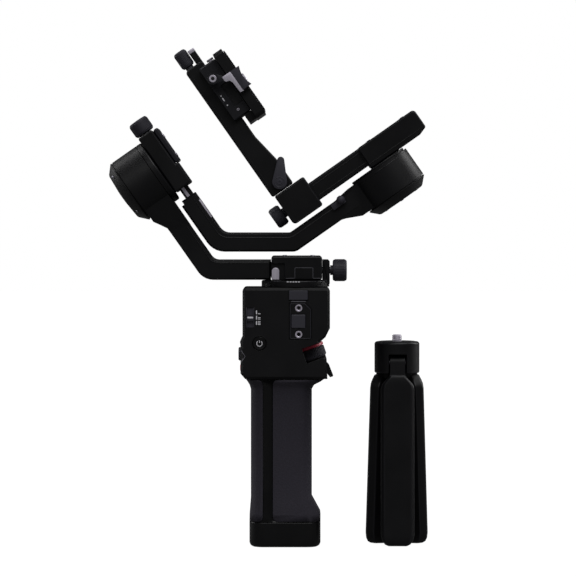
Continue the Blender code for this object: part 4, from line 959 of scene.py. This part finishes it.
@dataclass(frozen=True)
class LowerArm:
    """The arm from the pan holder to the roll motor."""

    level: float = 183.5
    leg: float = -123.6
    side: float = 10.0
    cup_end: float = -140.0
    cup_radius: float = 22.0

    def build(self) -> None:
        """Make the arm, its cover and its inlaid lines, whose lighter colour is a painted highlight."""
        refined("lower_arm", "lower_arm", ANODISED, 0.4)
        self.cover()
        refined("roll_stator", "lower_arm", COPPER, 0.3)
        path = filleted([(-17.0, self.level), leg_meets(self.level, x=self.leg), leaned_at(self.leg, -40.0)], 8.0)
        publish_highlight_lines("lower_arm_lines", [(path, self.side, 0.28)], WORLD, "lower_arm")
        publish_screws("roll_cover_screws", circled(18.6, 45, 315, 3), (1.2, 0.4),
                       aimed(LEANED, (self.cup_end - 4.2, 0, 0), "-X"), "lower_arm")

    def cover(self) -> None:
        """The conical rear cover with a seam step and a shallow dish."""
        radius = self.cup_radius
        profile = [(0, 0), (radius - 0.6, 0), (radius - 0.6, 0.35), (radius, 0.5), (radius, 0.95),
                   (radius - 0.35, 1.35), (16.9, 5.7), (16.0, 6.1), (6.2, 7.0), (5.4, 6.9), (5.0, 6.6), (0, 6.5)]
        publish("roll_cover", [turned(profile, 96)], aimed(LEANED, (self.cup_end - 0.3, 0, 0), "-X"), "lower_arm",
                SHELL, ("roll_motor_cover",))


@dataclass(frozen=True)
class RollAxis:
    """The roll rotor, the holder of the upper arm and its clamp."""

    knob: Knob = Knob("roll_knob", "roll_knob", 6.8, 9.6, (2.3, 4.7), 42)
    knob_at: tuple = (-111.1, 0.0, 25.4)
    cover_face: float = -102.5

    def build(self) -> None:
        """Make the rotor, holder, cover and knob."""
        refined("roll_rotor", "roll", ANODISED, 0.3)
        refined("roll_arm_holder", "roll", ANODISED, 0.35)
        refined("roll_clamp_cover", "roll", CAST, 0.3)
        self.knob.build(aimed(LEANED, self.knob_at, "+Z"))
        points = [(-17.5, 9.6, 0), (-17.5, -9.6, 0), (-2.8, 9.6, 0), (-2.8, -9.6, 0)]
        publish_screws("clamp_cover_screws", points, (1.35, 0.35),
                       aimed(LEANED, (self.cover_face, 0, 0), "+X"), "roll", STEEL)


@dataclass(frozen=True)
class RollArm:
    """The upper arm from the roll motor to the tilt motor, with its silver rail."""

    left: float = -109.75
    level: float = 199.9
    right: float = -84.4
    side: float = 10.0
    cup_end: float = -99.4
    cup_radius: float = 21.5

    def build(self) -> None:
        """Make the arm, the tilt motor's cover, the silver rails and the lines along the arm, whose lighter colour
        is a painted highlight.
        """
        refined("roll_arm", "roll_arm", ANODISED, 0.4)
        refined("tilt_stator", "roll_arm", COPPER, 0.3)
        self.cover()
        path = filleted([leaned_at(self.left, -26.0), leg_meets(self.level, x=self.left),
                         leg_meets(self.level, z=self.right), leaned_at(-38.5, self.right)], 9.0)
        publish_highlight_lines("roll_arm_lines", [(path, self.side, 0.28)], WORLD, "roll_arm")
        rails = []
        for side in (-1, 1):
            outer, inner = sorted((side * 9.6, side * 10.12)), sorted((side * 7.7, side * 8.15))
            rails.append(block((-107.6, -106.5), outer, (-44.0, -30.2), 0.12))
            rails.append(block((-112.6, -110.6), inner, (-28.0, 14.6), 0.1))
        publish("roll_rails", rails, LEANED, "roll_arm", STEEL)
        # The seam bead takes the lighter edge finish: a painted highlight along the real seam.
        seam = bead(circled(self.cup_radius, 0, 357, 119), 0.22, SEAL_AND_SHADE, True)
        publish("tilt_housing_seam", [seam], aimed(LEANED, (0, 0, -81.2), "+Z"), "roll_arm", EDGES[ANODISED.name])
        self.lock()

    def cover(self) -> None:
        """The tilt motor's rear cover with its seam step."""
        radius = self.cup_radius
        profile = [(0, 0), (radius - 0.5, 0), (radius - 0.5, 0.3), (radius, 0.4), (radius, 0.7),
                   (radius - 0.5, 1.2), (16.9, 5.3), (15.9, 5.8), (7.0, 5.85), (6.4, 5.6), (0, 5.5)]
        publish("tilt_cover", [turned(profile, 96)], aimed(LEANED, (0, 0, self.cup_end - 0.3), "-Z"), "roll_arm",
                SHELL, ("tilt_motor_cover",))
        publish_screws("tilt_cover_screws", circled(11.5, 0, 270, 3), (1.2, 0.35),
                       aimed(LEANED, (0, 0, self.cup_end - 6.1), "-Z"), "roll_arm")

    def lock(self) -> None:
        """The ball-ended lock slider of the tilt axis."""
        x, top = -32.4, -81.2
        plate = block((x - 7.6, x + 2.2), (-11.9, -10.3), (top - 4.6, top - 0.6), 0.35)
        ball = turned(arc((0, 0), 2.8, -90, 90, 18), 36)
        ball.transform(Matrix.Translation((x, -13.4, top - 1.4)))
        publish("tilt_lock_slider", [plate, ball], LEANED, "tilt_lock_knob", KNOB, ("tilt_lock_knob",))


# ---------------------------------------------------------------- camera side


@dataclass(frozen=True)
class TiltAxis:
    """The tilt rotor and the block with the swing bar."""

    groove: float = -74.4
    half: float = 12.0

    def build(self) -> None:
        """Make the rotor, the arm and its lines in a painted highlight, and the thin dark pieces that paint shade
        into the motor's gap.
        """
        refined("tilt_rotor", "tilt", ANODISED, 0.25)
        refined("vertical_arm", "tilt", ANODISED, 0.35)
        runs = [([(-4.0, self.groove), (35.5, self.groove)], self.half, 0.2)]
        runs += [([(-42.0, z), (-5.2, z)], 9.0, 0.22) for z in (-72.2, -64.8)]
        publish_highlight_lines("tilt_arm_lines", runs, LEANED, "tilt")
        # A flat black lip and shim in the gap between rotor and motor: painted shade.
        lip = turned([(16.0, -79.44), (19.8, -79.44), (19.8, -79.1), (16.0, -79.1)], 64)
        shim = block((-4.5, 17.0), (-10.0, 10.0), (-78.0, -77.5))
        publish("tilt_gap_seal", [lip, shim], LEANED, "tilt", SEAL_AND_SHADE)
        points = [(4.0, 8.0, 0), (4.0, -8.0, 0), (30.0, 8.0, 0), (30.0, -8.0, 0)]
        publish_screws("tilt_arm_screws", points, (1.5, 0.35), aimed(LEANED, (0, 0, -61.7), "+Z"), "tilt")


@dataclass(frozen=True)
class Bracket:
    """The bracket on the swing bar, the camera bar, its lever and two knobs."""

    bracket_knob: Knob = Knob("bracket_knob", "bracket_knob", 7.0, 7.8, (2.3, 3.9), 42)
    bracket_knob_at: tuple = (-67.6, 0.0, -68.5)
    top_knob: Knob = Knob("platform_knob", "platform_knob", 4.5, 11.7, (1.8, 6.5), 30)
    top_knob_at: tuple = (-63.4, 0.0, 44.3)

    def build(self) -> None:
        """Make the bracket, bar, lever and knobs."""
        refined("bracket", "bracket", ANODISED, 0.4)
        refined("camera_bar", "bracket", ANODISED, 0.4)
        self.bracket_knob.build(aimed(LEANED, self.bracket_knob_at, "-X"))
        self.top_knob.build(aimed(LEANED, self.top_knob_at, "+Z"))
        self.lever()
        publish_highlight_lines("bar_lines", [([(-65.4, -50.0), (-65.4, 38.0)], 12.0, 0.2)], LEANED, "bracket")

    def lever(self) -> None:
        """The keyhole-shaped release lever with its pivot screw."""
        x, z, near = -58.1, -50.6, -12.3
        tip = (x + 8.6, z + 11.0)
        lean = math.degrees(math.atan2(tip[1] - z, tip[0] - x))
        outline = arc((x, z), 4.8, lean + 75, lean + 285, 28) + arc(tip, 2.3, lean - 80, lean + 80, 12)
        publish("bar_lever", [prism(outline, near - 3.0, near, 0.45)], LEANED, "bar_lock_lever", KNOB,
                ("bar_lock_lever",))
        # The ring round the pivot and its screw take the lighter edge finish: a painted highlight.
        dish = bead(circled(3.3, 0, 345, 23), 0.18, KNOB, True)
        publish("bar_lever_ring", [dish, screws_at([(0, 0, 0)], 1.7, 0.3, KNOB)],
                aimed(LEANED, (x, near - 3.0, z), "-Y"), "bar_lock_lever", EDGES[KNOB.name])


@dataclass(frozen=True)
class Platform:
    """The platform clamp with its silver parts, the plate, its pad and the camera screw."""

    pin: tuple[float, float] = (-55.3, 27.9)
    skirt: float = -16.0
    plate_face: float = -39.9
    plate: tuple = ((-20.0, 28.0), (-9.0, 41.0))
    screw_at: tuple[float, float, float] = (-46.5, 4.0, 18.5)
    screw_tip: float = 9.4

    def build(self) -> None:
        """Make the clamp, plate and screw."""
        refined("platform_clamp", "platform", CAST)
        refined("platform_rail", "platform", ANODISED, 0.2)
        ends = [block((-58.6, -54.0), (-4.1, 4.1), span, 0.3) for span in ((-8.0, -3.4), (50.4, 52.8))]
        publish("rail_ends", ends, LEANED, "platform", STEEL)
        refined("safety_catch", "safety_catch", STEEL, 0.15)
        cap = block((-52.0, -47.3), (-3.3, 3.3), (39.75, 40.9), 0.3)
        publish("safety_catch_cap", [cap], LEANED, "safety_catch", ZINC)
        self.lever()
        refined("quick_release_plate", "plate", ANODISED, 0.35)
        self.pad()
        self.camera_screw()
        # A thin dark sheet on the recess floor: painted shade.
        floor = block((-53.6, -47.6), (self.skirt + 0.95, self.skirt + 1.15), (5.8, 21.8))
        publish("clamp_recess_floor", [floor], LEANED, "platform", SEAL_AND_SHADE)
        marks = [block((-57.7, -56.9), (self.skirt - 0.06, self.skirt + 0.1), (low, low + tall))
                 for low, tall in ((15.8, 0.8), (12.2, 2.4), (8.6, 0.8))]
        publish("clamp_marks", marks, LEANED, "platform", INK)
        place = aimed(LEANED, (-53.2, self.skirt, 0), "-Y")
        publish_screws("clamp_screws", [(0, 2.9, 0)], (0.9, 0.3), place, "platform", STEEL)

    def lever(self) -> None:
        """The thumb lever: its hub and pin, its silver arm and its dished thumb piece."""
        x, z = self.pin
        near, far = -24.4, -20.6
        hub = arc((x, z), 3.7, 60, 265, 20) + [(-49.4, 22.4), (-49.4, 26.2)]
        boss = turned([(2.6, 0), (3.6, 0), (3.6, 8.0), (2.6, 8.0)], 40)
        boss.transform(Matrix.Translation((x, self.skirt - 0.4, z)) @ Matrix.Rotation(math.pi / 2, 4, "X"))
        publish("plate_lever_hub", [prism(hub, near + 0.3, far, 0.3), boss], LEANED, "plate_lever", CAST,
                ("plate_lever",))
        arm = [(-49.9, 25.3), (-43.2, 25.2), (-43.2, 10.3), (-45.8, 10.6), (-46.3, 18.8), (-47.2, 20.7),
               (-49.5, 21.4), (-50.1, 22.6)]
        publish("plate_lever_arm", [prism(arm, near, far - 0.1, 0.35)], LEANED, "plate_lever", STEEL)
        dish = [(-36.9 - 1.6 * math.sin(math.pi * i / 8), 11.2 + 1.75 * i) for i in range(9)]
        thumb = [(-43.6, 25.3), (-43.6, 10.9), *dish]
        publish("plate_lever_thumb", [prism(thumb, near - 0.2, far, 0.3)], LEANED, "plate_lever", KNOB)
        cap = turned([(0, 0), (2.4, 0), (2.4, 0.3), (2.1, 0.6), (1.3, 0.6), (1.1, 0.3), (0.7, 0.3), (0.5, 0.5),
                      (0, 0.5)], 40)
        place = aimed(LEANED, (x, self.skirt - 8.45, z), "-Y")
        publish("lever_pin_cap", [cap], place, "platform", STEEL)
        # A flat black disc in the pin cap's hollow: painted shade.
        socket = turned([(0, 0.2), (1.15, 0.2), (1.15, 0.42), (0.9, 0.52), (0, 0.54)], 24)
        publish("lever_pin_socket", [socket], place, "platform", SEAL_AND_SHADE)

    def pad(self) -> None:
        """The plate's rubber pad, ribbed so that a camera doesn't turn on it."""
        (y0, y1), (z0, z1) = self.plate
        face = self.plate_face + 1.0
        refined("plate_pad", "plate", SEAL_AND_SHADE, 0.1)
        ribs = []
        for low, count in ((z0 + 4.0, 6), (z1 - 16.0, 7)):
            rib = block((face - 0.2, face + 0.12), (y0 + 3.5, y1 - 3.5), (low, low + 0.8))
            ribs.append(row_of(rib, count, (0, 0, 1.9), SEAL_AND_SHADE))
        publish("pad_ribs", ribs, LEANED, "plate", SEAL_AND_SHADE)

    def camera_screw(self) -> None:
        """The quarter-inch camera screw with its thread and slot."""
        tip = self.screw_tip
        shank = turned([(0, 0.2), (5.8, 0.2), (6.0, 0.4), (6.0, 2.0), (5.8, 2.2), (2.95, 2.2), (2.95, tip - 0.5),
                        (2.45, tip), (0, tip)], 48)
        thread = threaded(2.95, 0.22, QUARTER_INCH_PITCH, 2.4, tip - 0.3)
        publish("camera_screw_body", [shank, thread], aimed(LEANED, self.screw_at, "+X"), "camera_screw", STEEL,
                ("camera_screw",))


# ---------------------------------------------------------------- mini tripod


@dataclass(frozen=True)
class Tripod:
    """The mini tripod: head, screw and three legs."""

    x: float = 66.0
    high: float = 132.3
    pivot: tuple[float, float] = (8.0, 119.0)
    splay: float = 2.0
    thread: float = 3.175

    def build(self) -> None:
        """Make the tripod."""
        refined("tripod_head", "tripod", ANODISED, 0.4)
        place = shift(self.x, 0, 0)
        self.screw(place)
        for index, name in enumerate(("tripod_leg_front", "tripod_leg_right", "tripod_leg_left")):
            refined(name, name, ANODISED, 0.5, 30.0)
            self.leg_details(place, index, name)

    def screw(self, place: Matrix) -> None:
        """The mounting screw, and the rubber ring that it stands in."""
        rod, seat, top = self.thread - 0.25, self.high, self.high + 4.5
        shank = turned([(0, seat - 5.6), (rod, seat - 5.6), (rod, top - 0.6), (rod - 0.6, top), (0, top)], 40)
        thread = threaded(rod, 0.25, QUARTER_INCH_PITCH, seat - 0.2, top - 0.2)
        publish("tripod_thread", [shank, thread], place, "tripod", STEEL, ("tripod_screw",))
        ring = turned([(5.2, seat - 0.2), (11.6, seat - 0.2), (11.6, seat + 0.25), (5.2, seat + 0.25)], 64)
        publish("tripod_seat", [ring], place, "tripod", SEAL_AND_SHADE)

    def hinge(self, place: Matrix, index: int) -> Matrix:
        """The frame of one leg's hinge, with -Y outwards."""
        side = place @ Matrix.Rotation(math.radians(120.0 * index), 4, "Z")
        return side @ shift(0, -self.pivot[0], self.pivot[1]) @ Matrix.Rotation(math.radians(-self.splay), 4, "X")

    def leg_details(self, place: Matrix, index: int, name: str) -> None:
        """The hinge pin and the soft rib of one leg."""
        place = self.hinge(place, index)
        pin = turned([(0, -5.3), (1.5, -5.3), (1.5, 5.3), (0, 5.3)], 20)
        pin.transform(Matrix.Rotation(math.pi / 2, 4, "Y"))
        publish(f"{name}_pin", [pin], place, name, ZINC)
        rib = block((-0.9, 0.9), (0.2, 1.2), (-100.0, -12.0), 0.3)
        publish(f"{name}_rib", [rib], place, name, ANODISED)


# ---------------------------------------------------------------- studio


@dataclass(frozen=True)
class Studio:
    """A pale floor, soft lights and a long lens."""

    aim: tuple = (-4.85, 0.0, 167.0)
    distance: float = 1.8
    elevation: float = 1.5
    across: float = 374.4
    surround: float = 0.06
    paper_glow: float = 0.97

    def build(self) -> None:
        """Make the floor, lights and camera."""
        self.world()
        self.floor()
        self.sun("sun_soft", (0.5, 0.25, 0.0), 1.6, 50.0)
        for name, x in (("panel_left", -1.1), ("panel_right", 1.1)):
            self.panel(name, (x, 0.55, 0.75), (0.5, 1.2), 8.0)
        self.panel("panel_front", (-0.7, -1.6, 1.3), (0.9, 0.9), 4.0)
        self.camera()

    def glow(self, tree: bpy.types.NodeTree, seen: float) -> bpy.types.NodeSocket:
        """A strength that is bright to the camera and dim to everything else."""
        ray = add(tree, "ShaderNodeLightPath").outputs["Is Camera Ray"]
        return add(tree, "ShaderNodeMapRange", None,
                   {"Value": ray, "To Min": self.surround, "To Max": seen}).outputs["Result"]

    def world(self) -> None:
        """A white surround that lights softly."""
        world = bpy.data.worlds.new("studio")
        bpy.context.scene.world = world
        tree = emptied(world)
        light = add(tree, "ShaderNodeBackground", None,
                    {"Color": linear("ffffff"), "Strength": self.glow(tree, 1.0)})
        add(tree, "ShaderNodeOutputWorld", None, {"Surface": light.outputs["Background"]})
        bpy.context.scene.view_settings.view_transform = "Standard"

    def paper(self) -> bpy.types.Material:
        """White paper lit so well that it shows no edge, and that throws little light back up."""
        made = bpy.data.materials.new("paper, matt white")
        tree = emptied(made)
        glow = add(tree, "ShaderNodeEmission", None,
                   {"Color": linear("ffffff"), "Strength": self.glow(tree, self.paper_glow)})
        flat = add(tree, "ShaderNodeBsdfDiffuse", None, {"Color": (0.12, 0.12, 0.12, 1.0)})
        both = add(tree, "ShaderNodeAddShader", None, {0: glow.outputs["Emission"], 1: flat.outputs["BSDF"]})
        add(tree, "ShaderNodeOutputMaterial", None, {"Surface": both.outputs["Shader"]})
        return made

    def floor(self) -> None:
        """A wide pale floor."""
        bm = bmesh.new()
        bmesh.ops.create_circle(bm, cap_ends=True, segments=96, radius=6.0)
        mesh = bpy.data.meshes.new("floor")
        bm.to_mesh(mesh)
        bm.free()
        mesh.materials.append(self.paper())
        floor = linked(bpy.data.objects.new("floor", mesh))

    def light(self, name: str, kind: str, energy: float) -> bpy.types.Object:
        """A light that still has to be placed."""
        thing = linked(bpy.data.objects.new(name, bpy.data.lights.new(name, kind)))
        thing.data.energy = energy
        return thing

    def sun(self, name: str, turn: tuple, energy: float, angle: float) -> None:
        """A wide sun, even over the whole floor."""
        thing = self.light(name, "SUN", energy)
        thing.data.angle = math.radians(angle)
        thing.rotation_euler = turn

    def panel(self, name: str, at: tuple, size: tuple, energy: float) -> None:
        """A soft panel that faces the object."""
        thing = self.light(name, "AREA", energy)
        thing.data.shape = "RECTANGLE"
        thing.data.size, thing.data.size_y = size
        thing.location = at
        thing.rotation_euler = (Vector(self.aim) * MM - Vector(at)).to_track_quat("-Z", "Y").to_euler()

    def camera(self) -> None:
        """A long lens almost level with the object."""
        data = bpy.data.cameras.new("camera")
        data.lens = data.sensor_width * self.distance / (self.across * MM)
        camera = linked(bpy.data.objects.new("camera", data))
        rise = math.radians(self.elevation)
        away = Vector((0, -math.cos(rise), math.sin(rise))) * self.distance
        camera.location = Vector(self.aim) * MM + away
        camera.rotation_euler = (-away).to_track_quat("-Z", "Y").to_euler()
        bpy.context.scene.camera = camera


def main() -> None:
    """Build every sub-assembly in order."""
    logging.basicConfig(level=logging.INFO, format="%(message)s")
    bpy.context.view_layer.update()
    for assembly in (Grip(), Head(), Controls(), PanAxis(), LowerArm(), RollAxis(), RollArm(), TiltAxis(),
                     Bracket(), Platform(), Tripod(), Studio()):
        assembly.build()
        LOG.info("%s is done", type(assembly).__name__)


if __name__ == "__main__":
    main()
